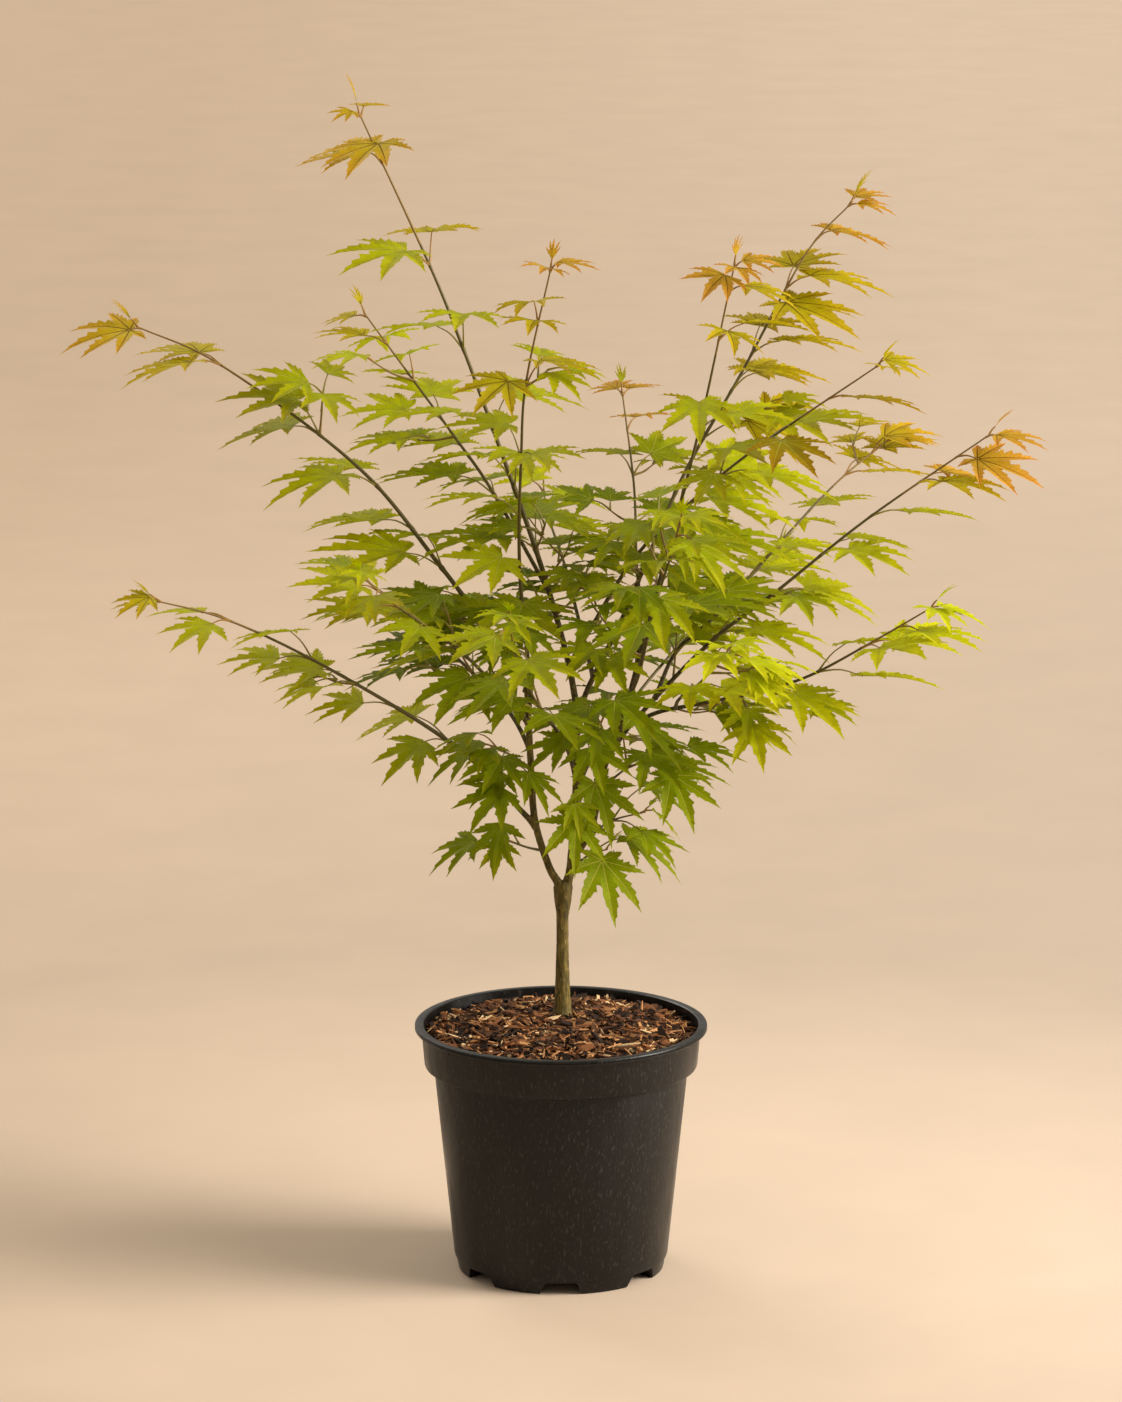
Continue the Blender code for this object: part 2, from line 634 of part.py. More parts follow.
class Room:
    """What already stands in the crown, for trying whether a leaf has room."""

    def __init__(self):
        self.taken = []

    @staticmethod
    def entry(points, faces):
        middle = sum(points, Vector()) / len(points)
        reach = max((point - middle).length for point in points)
        return middle, reach, BVHTree.FromPolygons(points, faces)

    def add(self, points, faces):
        self.taken.append(self.entry(points, faces))

    def add_mesh(self, mesh):
        points = [vertex.co.copy() for vertex in mesh.vertices]
        self.add(points, [tuple(face.vertices) for face in mesh.polygons])

    def try_to_add(self, points, faces):
        middle, reach, tree = self.entry(points, faces)
        for other_middle, other_reach, other in self.taken:
            if (middle - other_middle).length < reach + other_reach and tree.overlap(other):
                return False
        self.taken.append((middle, reach, tree))
        return True


def rod_faces(start, end, radius):
    """Points and triangles of a thin three-sided rod."""
    along = (end - start).normalized()
    across = along.cross(Vector((0, 0, 1)) if abs(along.z) < 0.9 else Vector((1, 0, 0)))
    points = []
    for middle in (start, end):
        for turn in (0, 120, 240):
            out = Matrix.Rotation(math.radians(turn), 3, along) @ across.normalized()
            points.append(middle + out * radius)
    faces = [(0, 1, 2), (5, 4, 3)]
    for i in range(3):
        j = (i + 1) % 3
        faces += [(i, 3 + i, 3 + j), (i, 3 + j, j)]
    return points, faces


def outward(direction, turn):
    """A unit vector at right angles to the shoot; a turn of 0 is level."""
    level = direction.cross(Vector((0, 0, 1)))
    level = level.normalized() if level.length > LEAST_SIDE else Vector((1, 0, 0))
    upper = level.cross(direction).normalized()
    away = level * math.cos(turn) + upper * math.sin(turn)
    if away.z < LOWEST_AWAY:
        away += level * math.copysign(LEVELLING, math.cos(turn))
    return away.normalized()


def droop_at(height, chance):
    """How far a blade at this height hangs below level."""
    share = min(max((height - CROWN_FOOT) / (FLAT_FROM - CROWN_FOOT), 0), 1)
    least, most = (low + (high - low) * share for low, high in zip(LOW_DROOP, HIGH_DROOP))
    return math.radians(chance.uniform(least, most))


def leaf_at(point, direction, turn, lobe, stalk, lean, room, chance):
    """Tries a leaf in a few turns and sizes, and returns the first that has room."""
    from_middle = Vector((point.x, point.y, 0)).normalized() * lean
    for _ in range(LEAF_TRIES):
        around = turn + math.radians(chance.uniform(-LEAF_TURN, LEAF_TURN))
        rise = math.radians(chance.uniform(*STALK_RISE))
        droop = droop_at(point.z, chance)
        roll = math.radians(chance.uniform(-BLADE_ROLL, BLADE_ROLL))
        size = lobe * (1 + chance.uniform(-SIZE_SPREAD, SIZE_SPREAD))
        away = outward(direction, around)
        heading = (away * math.cos(rise) + direction * math.sin(rise) + from_middle).normalized()
        leaf = Leaf(point, heading * stalk * chance.uniform(0.85, 1.15), droop, roll, size)
        if room.try_to_add(*leaf_faces(leaf, CLEAR_THICKNESS, CLEAR_GROWTH, STALK_CLEAR)):
            return leaf
    return None


def end_leaf(point, direction, lobe, room, chance):
    """The leaf that ends a twig, held nearly in line with it."""
    roll = math.radians(chance.uniform(-BLADE_ROLL, BLADE_ROLL))
    aim = (direction + Vector((0, 0, END_LIFT))).normalized()
    leaf = Leaf(point - direction * END_SUNK, aim * END_STALK, math.radians(END_DROOP), roll,
                lobe, END_SPREAD)
    points, faces = leaf_faces(leaf, CLEAR_THICKNESS / 2, 1.0, END_STALK / 2)
    return leaf if room.try_to_add(points, faces) else None


def grow_foliage(plan, limb, chance, room):
    """Leaves in opposite pairs, each pair square to the last, and a few side twigs."""
    leaves, spurs = [], []
    first, lean = plan["leaves_at"][0], plan.get("lean", OUTWARD_LEAN)
    turn = math.radians(plan.get("turn", chance.uniform(0, 180)))
    for share in plan["leaves_at"]:
        grown = (share - first) / (1 - first)
        lobe = plan["lobes"][0] + (plan["lobes"][1] - plan["lobes"][0]) * grown
        stalk = STALK_LENGTH[0] + (STALK_LENGTH[1] - STALK_LENGTH[0]) * grown**STALK_HOLD
        point, direction = limb.at(share * limb.length)
        for side in (0, math.pi):
            leaves.append(leaf_at(point, direction, turn + side, lobe, stalk, lean, room, chance))
        turn += math.pi / 2
        if chance.random() < SPUR_SHARE and grown < SPUR_END:
            aim = (outward(direction, turn) * SPUR_AIM[0] + direction * SPUR_AIM[1]).normalized()
            reach = chance.uniform(*SPUR_LENGTH)
            tip = point + aim * reach
            if not room.try_to_add(*rod_faces(point + aim * STALK_CLEAR, tip, SPUR_CLEAR)):
                continue
            spurs.append(((point, SPUR_RADII[0]), (tip, SPUR_RADII[1])))
            for side in (0, math.pi):
                leaves.append(leaf_at(tip - aim * SPUR_PAIR_BACK, aim, side, SPUR_LEAF[0] * lobe,
                                      SPUR_LEAF[1] * stalk, lean, room, chance))
    tip, direction = limb.at(limb.length)
    last = plan["lobes"][1]
    leaves.append(end_leaf(tip, direction, END_LOBE * last, room, chance))
    near_tip = tip - direction * TIP_PAIR_BACK
    share = plan.get("tip_pair", TIP_PAIR)
    for side in (0, math.pi):
        leaves.append(leaf_at(near_tip, direction, turn + side, share * last, STALK_LENGTH[1],
                              lean, room, chance))
    return [leaf for leaf in leaves if leaf], spurs


def fuse(stem, parts):
    """Joins a shoot's stem with the twigs and leaves in a collection."""
    union = stem.modifiers.new("fuse", "BOOLEAN")
    union.operation = "UNION"
    union.operand_type = "COLLECTION"
    union.collection = parts
    union.solver = "MANIFOLD"
    graph = bpy.context.evaluated_depsgraph_get()
    joined = bpy.data.meshes.new_from_object(stem.evaluated_get(graph))
    joined.name = stem.name
    stem.modifiers.clear()
    stem.data = joined
    for part in list(parts.objects):
        bpy.data.objects.remove(part)
    bpy.data.collections.remove(parts)


# ---- The whole plant ----------------------------------------------------
def main():
    for old in list(bpy.data.objects):
        bpy.data.objects.remove(old)
    plant = collection("potted_maple")
    cutters = collection("cutters")
    plastic = material("pot_plastic", (0.018, 0.017, 0.016), 0.45)
    mulch = material("bark_mulch", (0.055, 0.030, 0.016), 0.95)
    bark = material("bark", (0.120, 0.095, 0.040), 0.70)
    leafage = material("leaf", (0.190, 0.230, 0.020), 0.50)

    build_pot(plant, cutters, plastic)
    build_soil(plant, mulch)
    room = Room()
    room.add_mesh(build_trunk(plant, bark).data)
    limbs, trees, foliage = {}, {}, {}
    for name, plan in STEMS.items():
        limb, start = grow_limb(plan, limbs, trees)
        sections = limb.stretch((start, start + UPRIGHT, limb.length), LIMB_SPACING)
        wood = tube(name, sections, 2, plant, bark)
        limbs[name], trees[name] = limb, tree_of(wood.data)
        room.add_mesh(wood.data)
    for name, plan in SHOOTS.items():
        limb, start = grow_limb(plan, limbs, trees)
        leafy = [share * limb.length for share in plan["leaves_at"]]
        if plan.get("bough", True):
            split = leafy[0] - BARE_END
            wood = tube(f"bough_{name}", limb.stretch((start, split), LIMB_SPACING), 1, plant, bark)
            room.add_mesh(wood.data)
            trees[name] = tree_of(wood.data)
            start = split + GAP
        sections = limb.stretch((start, *leafy, limb.length), TWIG_SPACING)
        foliage[name] = tube(f"foliage_{name}", sections, 0, plant, leafage)
        room.add_mesh(foliage[name].data)
        limbs[name] = limb

    total = 0
    for index, (name, plan) in enumerate(SHOOTS.items()):
        chance = random.Random(100 + index)
        leaves, spurs = grow_foliage(plan, limbs[name], chance, room)
        parts = collection(f"parts_{name}")
        for leaf in leaves:
            leaf_object("leaf", leaf, parts)
        for sections in spurs:
            tube("spur", sections, 0, parts)
        fuse(foliage[name], parts)
        total += len(leaves)
    print(f"{total} leaves")


main()
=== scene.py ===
import math
import random

import bmesh
import bpy
from mathutils import Matrix, Vector, noise
from mathutils.bvhtree import BVHTree


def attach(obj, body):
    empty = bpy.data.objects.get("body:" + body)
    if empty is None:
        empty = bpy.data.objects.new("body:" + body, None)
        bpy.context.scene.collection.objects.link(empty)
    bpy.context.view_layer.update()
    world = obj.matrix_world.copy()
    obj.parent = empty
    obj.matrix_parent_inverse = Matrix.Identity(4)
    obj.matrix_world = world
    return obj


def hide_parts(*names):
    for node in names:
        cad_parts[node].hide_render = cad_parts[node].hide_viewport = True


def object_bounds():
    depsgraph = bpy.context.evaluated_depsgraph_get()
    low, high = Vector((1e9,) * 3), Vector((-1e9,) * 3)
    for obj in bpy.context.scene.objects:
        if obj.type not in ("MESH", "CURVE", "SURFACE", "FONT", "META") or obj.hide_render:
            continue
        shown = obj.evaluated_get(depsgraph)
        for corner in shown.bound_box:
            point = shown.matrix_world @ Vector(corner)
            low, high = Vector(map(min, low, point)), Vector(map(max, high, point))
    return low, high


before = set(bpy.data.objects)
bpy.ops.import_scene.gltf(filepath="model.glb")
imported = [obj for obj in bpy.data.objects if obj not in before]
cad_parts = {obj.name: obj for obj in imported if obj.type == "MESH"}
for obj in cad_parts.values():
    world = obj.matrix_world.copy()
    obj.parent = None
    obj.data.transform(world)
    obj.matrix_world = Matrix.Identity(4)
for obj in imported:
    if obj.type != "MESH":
        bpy.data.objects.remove(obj)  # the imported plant, in metres, standing on z = 0
cadLow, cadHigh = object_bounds()
print("frame:", len(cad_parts), "nodes")


# Small helpers

def addObject(name, data):
    made = bpy.data.objects.new(name, data)
    bpy.context.collection.objects.link(made)
    return made


def meshOf(item):
    # the mesh of an object with its modifiers applied
    graph = bpy.context.evaluated_depsgraph_get()
    return bpy.data.meshes.new_from_object(item.evaluated_get(graph))


def modified(piece, kind, **settings):
    # the piece's mesh after one modifier, which is taken off again
    modifier = piece.modifiers.new("modified", kind)
    for name, value in settings.items():
        setattr(modifier, name, value)
    mesh = meshOf(piece)
    piece.modifiers.clear()
    return mesh


def takeApart(shape):
    # the points and faces of a bmesh, which is freed
    shape.verts.index_update()
    points = [vert.co.copy() for vert in shape.verts]
    faces = [[vert.index for vert in face.verts] for face in shape.faces]
    shape.free()
    return points, faces


def blend(pair, share):
    return pair[0] + (pair[1] - pair[0]) * share


def readTable(stops, place):
    # straight lines between (place, value) stops
    for (near, first), (far, last) in zip(stops, stops[1:]):
        if place <= far:
            return first + (last - first) * (place - near) / (far - near)
    return stops[-1][1]


def turned(degrees, axis, size=3):
    return Matrix.Rotation(math.radians(degrees), size, axis)


# Camera, light and floor

cameraSetup = {
    "place": (0.0, -6.484, 2.006), "pitch": 77.4, "lens": 180.0, "sensor": 36.0, "sight": 80.0,
}
lightSetup = {
    "window": {"kind": "SUN", "from": (0.95, -0.24, 0.78), "aim": (0, 0, 0), "strength": 2.15,
               "angle": 36.0, "tint": (1.0, 0.94, 0.84)},
    "softbox": {"kind": "AREA", "from": (2.5, -0.5, 1.3), "aim": (0, 0, 0.6), "strength": 30.0,
                "size": 1.3, "spread": 100, "tint": (1.0, 0.95, 0.88)},
    "rim": {"kind": "AREA", "from": (-1.5, 2.4, 2.6), "aim": (0, 0, 0.6), "strength": 40.0,
            "size": 1.6, "spread": 180, "tint": (1.0, 0.96, 0.90)},
}
skySetup = {"tint": (1.0, 0.92, 0.80), "strength": 0.59}


def addCamera():
    data = bpy.data.cameras.new("camera")
    data.lens = cameraSetup["lens"]
    data.sensor_width = cameraSetup["sensor"]
    data.clip_end = cameraSetup["sight"]
    camera = addObject("camera", data)
    camera.location = cameraSetup["place"]
    camera.rotation_euler = (math.radians(cameraSetup["pitch"]), 0, 0)
    bpy.context.scene.camera = camera


def addLights():
    for name, setup in lightSetup.items():
        data = bpy.data.lights.new(name, setup["kind"])
        data.energy = setup["strength"]
        data.color = setup["tint"]
        if setup["kind"] == "SUN":
            data.angle = math.radians(setup["angle"])
        else:
            data.size = setup["size"]
            data.spread = math.radians(setup["spread"])
        light = addObject(name, data)
        light.location = setup["from"]
        aim = Vector(setup["aim"]) - light.location
        light.rotation_euler = aim.to_track_quat("-Z", "Y").to_euler()
    scene = bpy.context.scene
    scene.world = bpy.data.worlds.new("sky")
    scene.world.use_nodes = True
    sky = scene.world.node_tree.nodes["Background"]
    sky.inputs["Color"].default_value = (*skySetup["tint"], 1)
    sky.inputs["Strength"].default_value = skySetup["strength"]
    scene.view_settings.view_transform = "Standard"


class Paint:
    # a new material, with short ways to add nodes to it and to feed its shader

    def __init__(self, name, roughness, specular):
        self.made = bpy.data.materials.new(name)
        self.made.use_nodes = True
        self.tree = self.made.node_tree
        self.shader = self.tree.nodes["Principled BSDF"]
        self.set("Roughness", roughness)
        self.set("Specular IOR Level", specular)

    def feed(self, socket, value):
        # another node's output, or a plain value, where a colour gets its alpha
        if isinstance(value, bpy.types.NodeSocket):
            self.tree.links.new(value, socket)
        else:
            socket.default_value = (*value, 1) if socket.type == "RGBA" else value

    def set(self, name, value):
        self.feed(self.shader.inputs[name], value)

    def node(self, kind, inputs=(), **settings):
        node = self.tree.nodes.new("ShaderNode" + kind)
        for name, value in settings.items():
            setattr(node, name, value)
        for name, value in dict(inputs).items():
            self.feed(node.inputs[name], value)
        return node

    def noise(self, scale, stretch=(1, 1, 1), detail=4.0, roughness=0.55):
        # on Object coordinates, drawn out by a Mapping node
        place = self.node("TexCoord").outputs["Object"]
        drawn = self.node("Mapping", {"Vector": place, "Scale": stretch}).outputs["Vector"]
        return self.node("TexNoise", {"Vector": drawn, "Scale": scale, "Detail": detail,
                                      "Roughness": roughness}).outputs["Fac"]

    def ramp(self, factor, stops):
        # a stop is a place with a colour, or with one value for a grey
        ramp = self.node("ValToRGB", {"Fac": factor})
        points = ramp.color_ramp.elements
        while len(points) < len(stops):
            points.new(0.5)
        for point, (place, colour) in zip(points, stops):
            point.position = place
            point.color = (*colour, 1) if isinstance(colour, tuple) else (*[colour] * 3, 1)
        return ramp.outputs["Color"]

    def mix(self, factor, first, second, kind="MIX"):
        return self.node("Mix", {0: factor, 6: first, 7: second}, data_type="RGBA",
                         blend_type=kind).outputs[2]

    def times(self, first, second):
        return self.mix(1.0, first, second, "MULTIPLY")

    def math(self, kind, *values):
        return self.node("Math", dict(enumerate(values)), operation=kind).outputs[0]

    def bump(self, height, strength, distance):
        bump = self.node("Bump", {"Height": height, "Strength": strength, "Distance": distance})
        self.set("Normal", bump.outputs["Normal"])


def linear(red, green, blue):
    # a screen colour, 0 to 255, as the shaders take it
    parts = [value / 255 for value in (red, green, blue)]
    return tuple(p / 12.92 if p <= 0.04045 else ((p + 0.055) / 1.055) ** 2.4 for p in parts)


floorSetup = {
    "radius": 14.0, "segments": 96, "below": 0.0004, "roughness": 0.8, "specular": 0.2,
    "pale": (0.690, 0.558, 0.428), "cloud": ((0.3, 0.955), (0.7, 1.0)),
    # painted light falloff: by distance from the middle, the floor is painted lighter near the pot and
    # darker further out
    "paintedLightFalloff": ((0.5, 0.84), (1.2, 0.68), (2.4, 0.79), (4.4, 0.97), (9.0, 1.0)),  # metres, share
    # painted light and shade across the floor: darker on the left as painted shade, lighter on the
    # right as painted light from the softbox
    "sides": 0.8, "left": (0.93, 0.89, 0.85), "right": (1.10, 1.09, 1.12),
}


def floorMaterial():
    setup = floorSetup
    paint = Paint("studioFloor", setup["roughness"], setup["specular"])
    cloud = paint.ramp(paint.noise(7.0, (1, 1, 1), 5.0, 0.5), setup["cloud"])
    place = paint.node("TexCoord").outputs["Object"]
    # painted light falloff: the floor is lighter near the pot and darker further out
    away = paint.node("VectorMath", {0: place}, operation="LENGTH").outputs["Value"]
    paintedLightFalloff = paint.ramp(paint.math("DIVIDE", away, setup["radius"]),
                      [(metres / setup["radius"], value) for metres, value in setup["paintedLightFalloff"]])
    # painted shade on the floor's left and painted light on its right
    across = paint.node("SeparateXYZ", {0: place}).outputs["X"]
    side = paint.math("MULTIPLY_ADD", across, 0.5 / setup["sides"], 0.5)
    sides = paint.ramp(side, ((0.0, setup["left"]), (1.0, setup["right"])))
    colour = paint.times(paint.times(cloud, setup["pale"]), paintedLightFalloff)
    paint.set("Base Color", paint.times(colour, sides))
    return paint.made


def addFloor():
    shape = bmesh.new()
    bmesh.ops.create_circle(shape, cap_ends=True, radius=floorSetup["radius"],
                            segments=floorSetup["segments"])
    floor = pieceFrom("floor", shape)
    floor.data.materials.append(floorMaterial())
    floor.location.z = -floorSetup["below"]


# Pieces

def pieceFrom(name, shape):
    mesh = bpy.data.meshes.new(name)
    shape.to_mesh(mesh)
    shape.free()
    return addObject(name, mesh)


def finishPiece(piece, materials, nodes, sharpAngle):
    # smooth shading with sharp edges, then the body and the nodes it stands for
    for made in materials:
        piece.data.materials.append(made)
    piece.data.shade_smooth()
    piece.data.set_sharp_from_angle(angle=math.radians(sharpAngle))
    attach(piece, "root")
    if nodes:
        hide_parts(*nodes)


class Heap:
    # points and faces of many small things, joined into one mesh at the end

    def __init__(self):
        self.points, self.faces, self.tints, self.marks = [], [], [], []

    def add(self, points, faces, tint=0, marks=()):
        # one tint for all the faces, or a list with one for each
        first = len(self.points)
        self.points += points
        self.marks += [value for mark in marks for value in mark]
        self.faces += [[first + corner for corner in face] for face in faces]
        self.tints += tint if isinstance(tint, list) else [tint] * len(faces)

    def piece(self, name):
        mesh = bpy.data.meshes.new(name)
        mesh.from_pydata(self.points, [], self.faces)
        mesh.polygons.foreach_set("material_index", self.tints)
        if self.marks:
            mark = mesh.attributes.new("blade", "FLOAT_VECTOR", "POINT")
            mark.data.foreach_set("vector", self.marks)
        mesh.update()
        return addObject(name, mesh)


addCamera()
addLights()
addFloor()
print("camera, light and floor in place")


# Pot

potShape = {
    "height": 0.241, "lipRadius": 0.140, "lipInner": 0.1326, "lipHeight": 0.005,
    "collarTop": 0.1336, "collarFoot": 0.1308, "collarHeight": 0.041, "bodyTop": 0.1216,
    "skirt": 0.1023, "footRadius": 0.0986, "footHeight": 0.013, "footCount": 7, "footDepth": 0.013,
    "gapTop": 0.030, "gapBottom": 0.042, "gapRoof": 0.0014, "gapRound": 0.0022, "gapPast": 0.006,
    "gapUnder": 0.002, "boss": 0.020, "wall": 0.0022, "chamfer": 0.0012, "groove": 0.0005,
    "steps": 160, "sharp": 32,
}
potLook = {
    "roughness": 0.42, "specular": 0.31, "streaks": (1.0, (150, 150, 12), 5.0, 0.65),
    "body": ((0.30, (0.0018, 0.0014, 0.0011)), (0.55, (0.0034, 0.0028, 0.0023)),
             (0.80, (0.0072, 0.0061, 0.0052))),
    "flecks": (460, (1, 1, 0.36), 1.5), "fleckStops": ((0.58, 0), (0.74, 1)),
    "fleck": (0.026, 0.023, 0.0205), "patches": (38, (1, 1, 0.35), 3.0),
    "worn": ((0.3, 0.29), (0.7, 0.47)), "streakShare": 0.35, "bump": (0.55, 0.0006),
}


def plasticMaterial():
    look = potLook
    paint = Paint("potPlastic", look["roughness"], look["specular"])
    streaks, flecks = paint.noise(*look["streaks"]), paint.noise(*look["flecks"])
    body = paint.ramp(streaks, look["body"])
    paint.set("Base Color", paint.mix(paint.ramp(flecks, look["fleckStops"]), body, look["fleck"]))
    paint.set("Roughness", paint.ramp(paint.noise(*look["patches"]), look["worn"]))
    paint.bump(paint.mix(look["streakShare"], flecks, streaks), *look["bump"])
    return paint.made


def innerWall():
    # radius and height, from the pot's floor up to the lip
    p = potShape
    wall, shoulder = p["wall"], p["height"] - p["collarHeight"]
    return [
        (p["skirt"] - 2 * wall, p["footHeight"] + wall),
        (p["bodyTop"] - wall, shoulder - wall),
        (p["collarFoot"] - wall, shoulder + 1.5 * wall),
        (p["collarTop"] - wall, p["height"] - p["lipHeight"]),
        (p["lipInner"] - 0.4 * wall, p["height"] - 0.4 * wall),
        (p["lipInner"] + 0.2 * wall, p["height"]),
    ]


def outerWall():
    # from the lip, with its fine groove, down the collar and the body to the foot ring and the
    # boss: for each level its points, as a radius and the chamfers out from it and up
    p = potShape
    lip, collar, body, groove = p["lipRadius"], p["collarFoot"], p["bodyTop"], p["groove"]
    ring, foot = p["footRadius"] - p["footDepth"], p["footHeight"]
    underLip, shoulder = p["height"] - p["lipHeight"], p["height"] - p["collarHeight"]
    rows = (
        (p["height"], (lip, -1.5, 0), (lip, -0.4, -0.3), (lip, 0, -1), (lip, 0, -1.7),
         (lip - groove, 0, -2.0), (lip, 0, -2.3)),
        (underLip, (lip, 0, 0.7), (lip, -0.4, 0.2), (lip, -1.2, 0), (p["collarTop"], 0.5, -0.1),
         (p["collarTop"], 0, -0.7)),
        ((underLip + shoulder) / 2, ((p["collarTop"] + collar) / 2, 0, 0)),
        (shoulder, (collar, 0, 2), (collar, -0.4, 0.9), (collar, -1.3, 0.2), (collar, -3, 0),
         (body, 0.4, -0.4), (body, 0, -1.2), (body - groove * 0.8, 0, -3.2),
         (body - groove * 0.4, 0, -4.0)),
        (foot, (p["skirt"] + groove, 0, 1.5), (p["skirt"], 0, 0), (p["skirt"], -1, -0.5)),
        (0, (p["footRadius"], 0.1, 0.6), (p["footRadius"], -0.5, 0), (ring, 0.5, 0), (ring, 0, 0.5)),
        (foot, (ring, -1, -1), (p["boss"], 1, -1)),
        (0, (p["boss"], 0, 0)),
    )
    return [(radius + out * p["chamfer"], level + up * p["chamfer"])
            for level, *points in rows for radius, out, up in points]


def spinProfile(profile, steps):
    # turns (radius, height) pairs about Z into a closed solid
    shape = bmesh.new()
    verts = [shape.verts.new((radius, 0, height)) for radius, height in profile]
    edges = [shape.edges.new(pair) for pair in zip(verts, verts[1:])]
    bmesh.ops.spin(shape, geom=verts + edges, cent=(0, 0, 0), axis=(0, 0, 1), dvec=(0, 0, 0),
                   angle=math.tau, steps=steps, use_merge=True, use_duplicate=False)
    bmesh.ops.remove_doubles(shape, verts=shape.verts, dist=0.00001)
    bmesh.ops.recalc_face_normals(shape, faces=shape.faces)
    return shape


def footGaps():
    # one wedge for each gap between two feet, wider at the floor
    p = potShape
    wedges = bmesh.new()
    inside = p["footRadius"] - p["footDepth"] - p["gapPast"]
    outside = p["skirt"] + p["gapPast"]
    for index in range(p["footCount"]):
        corners = bmesh.ops.create_cube(wedges, size=1)["verts"]
        for corner in corners:
            high = corner.co.z > 0
            corner.co.x = outside if corner.co.x > 0 else inside
            corner.co.y *= p["gapTop"] if high else p["gapBottom"]
            corner.co.z = p["footHeight"] - p["gapRoof"] if high else -p["gapUnder"]
        bmesh.ops.rotate(wedges, verts=corners, cent=(0, 0, 0),
                         matrix=turned(-90 + index * 360 / p["footCount"], "Z"))
    tops = [edge for edge in wedges.edges if all(vert.co.z > 0 for vert in edge.verts)]
    bmesh.ops.bevel(wedges, geom=tops, offset=p["gapRound"], segments=3, profile=0.5,
                    affect="EDGES", material=-1)
    return pieceFrom("footGaps", wedges)


def buildPot():
    profile = [(0, potShape["footHeight"] + potShape["wall"]), *innerWall(), *outerWall(), (0, 0)]
    pot = pieceFrom("pottedMaplePot", spinProfile(profile, potShape["steps"]))
    gaps = footGaps()
    pot.data = modified(pot, "BOOLEAN", operation="DIFFERENCE", object=gaps, solver="EXACT")
    bpy.data.objects.remove(gaps)
    finishPiece(pot, [plasticMaterial()], ["pot"], potShape["sharp"])


# Soil: a crumbly mound under loose bark chips

soilShape = {
    "gap": 0.0003, "steps": 110, "rings": 26, "loose": 0.222, "edge": 0.001, "sharp": 60,
    "mound": ((0.0, 0.2408), (0.050, 0.2405), (0.095, 0.2362), (0.118, 0.2310), (0.1312, 0.2288)),
    "crumb": 0.0018, "roughness": 0.95, "specular": 0.2, "grain": (170, (1, 1, 1), 8.0, 0.7),
    "tints": ((0.32, (0.006, 0.004, 0.0025)), (0.52, (0.022, 0.012, 0.007)),
              (0.70, (0.060, 0.031, 0.015))),
    "bump": (0.9, 0.003),
}
chipShape = {
    "seed": 41, "forms": 10, "clear": 0.0115, "reach": 0.1275, "wall": 0.1335, "sharp": 50,
    "rise": (-0.0008, 0.0034), "torn": (0.45, 0.6, 0.09), "bend": 0.5, "curl": 0.9,
    "kinds": {  # how many, length, width and thickness as shares of it, tilt in degrees
        "chips": (1150, (0.007, 0.021), (0.22, 0.48), (0.10, 0.22), 28),
        "slivers": (1350, (0.008, 0.026), (0.06, 0.15), (0.04, 0.09), 34),
        "crumbs": (750, (0.0028, 0.0060), (0.5, 0.9), (0.3, 0.6), 40),
    },
    "tints": (("chipDark", (40, 24, 14)), ("chipBrown", (82, 51, 30)), ("chipRusty", (126, 79, 45)),
              ("chipTan", (178, 128, 82)), ("chipPale", (214, 182, 136))),
    "weights": {"chips": (6, 6, 4, 1.5, 0.3), "slivers": (2, 4, 4, 3, 1.3),
                "crumbs": (5, 4, 3, 1.5, 1.2)},
    "roughness": 0.88, "specular": 0.25, "grain": (700, (1, 1, 1), 4.0, 0.7), "bump": (0.7, 0.0006),
}


def buildSoil():
    s = soilShape
    wall = [(radius - s["gap"], height + s["gap"]) for radius, height in innerWall()]
    outer = s["mound"][-1][0]
    radii = [outer * i / s["rings"] for i in range(s["rings"] + 1)]
    surface = [(radius, readTable(s["mound"], radius)) for radius in radii]
    shape = spinProfile([*surface, wall[2], wall[1], wall[0], (0, wall[0][1])], s["steps"])
    for vert in shape.verts:
        if vert.co.z > s["loose"] and math.hypot(vert.co.x, vert.co.y) < outer - s["edge"]:
            lift = noise.noise(vert.co * 170) + 0.5 * noise.noise(vert.co * 420)
            vert.co.z += s["crumb"] * lift
    paint = Paint("pottingMix", s["roughness"], s["specular"])
    crumbs = paint.noise(*s["grain"])
    paint.set("Base Color", paint.ramp(crumbs, s["tints"]))
    paint.bump(crumbs, *s["bump"])
    finishPiece(pieceFrom("soilMound", shape), [paint.made], ["soil"], s["sharp"])


def grainMaterial(name, tint, look):
    # one plain colour with a fine relief
    paint = Paint(name, look["roughness"], look["specular"])
    paint.set("Base Color", tint)
    paint.bump(paint.noise(*look["grain"]), *look["bump"])
    return paint.made


def chipForm(chance):
    # a split sliver of bark: a cut-up slab with torn ends
    narrowed, thinned, shift = chipShape["torn"]
    shape = bmesh.new()
    bmesh.ops.create_cube(shape, size=1)
    bmesh.ops.subdivide_edges(shape, edges=shape.edges[:], cuts=1, use_grid_fill=True)
    for vert in shape.verts:
        end = abs(vert.co.x) * 2
        vert.co.y *= 1 - narrowed * end * chance.random()
        vert.co.z *= 1 - thinned * end * chance.random()
        vert.co += Vector(chance.uniform(-shift, shift) for _ in range(3))
    bend = chance.uniform(-chipShape["bend"], chipShape["bend"])
    curl = chance.uniform(-chipShape["curl"], chipShape["curl"])
    for vert in shape.verts:
        vert.co.z += bend * vert.co.x ** 2
        vert.co.y += curl * vert.co.x ** 2
    return takeApart(shape)


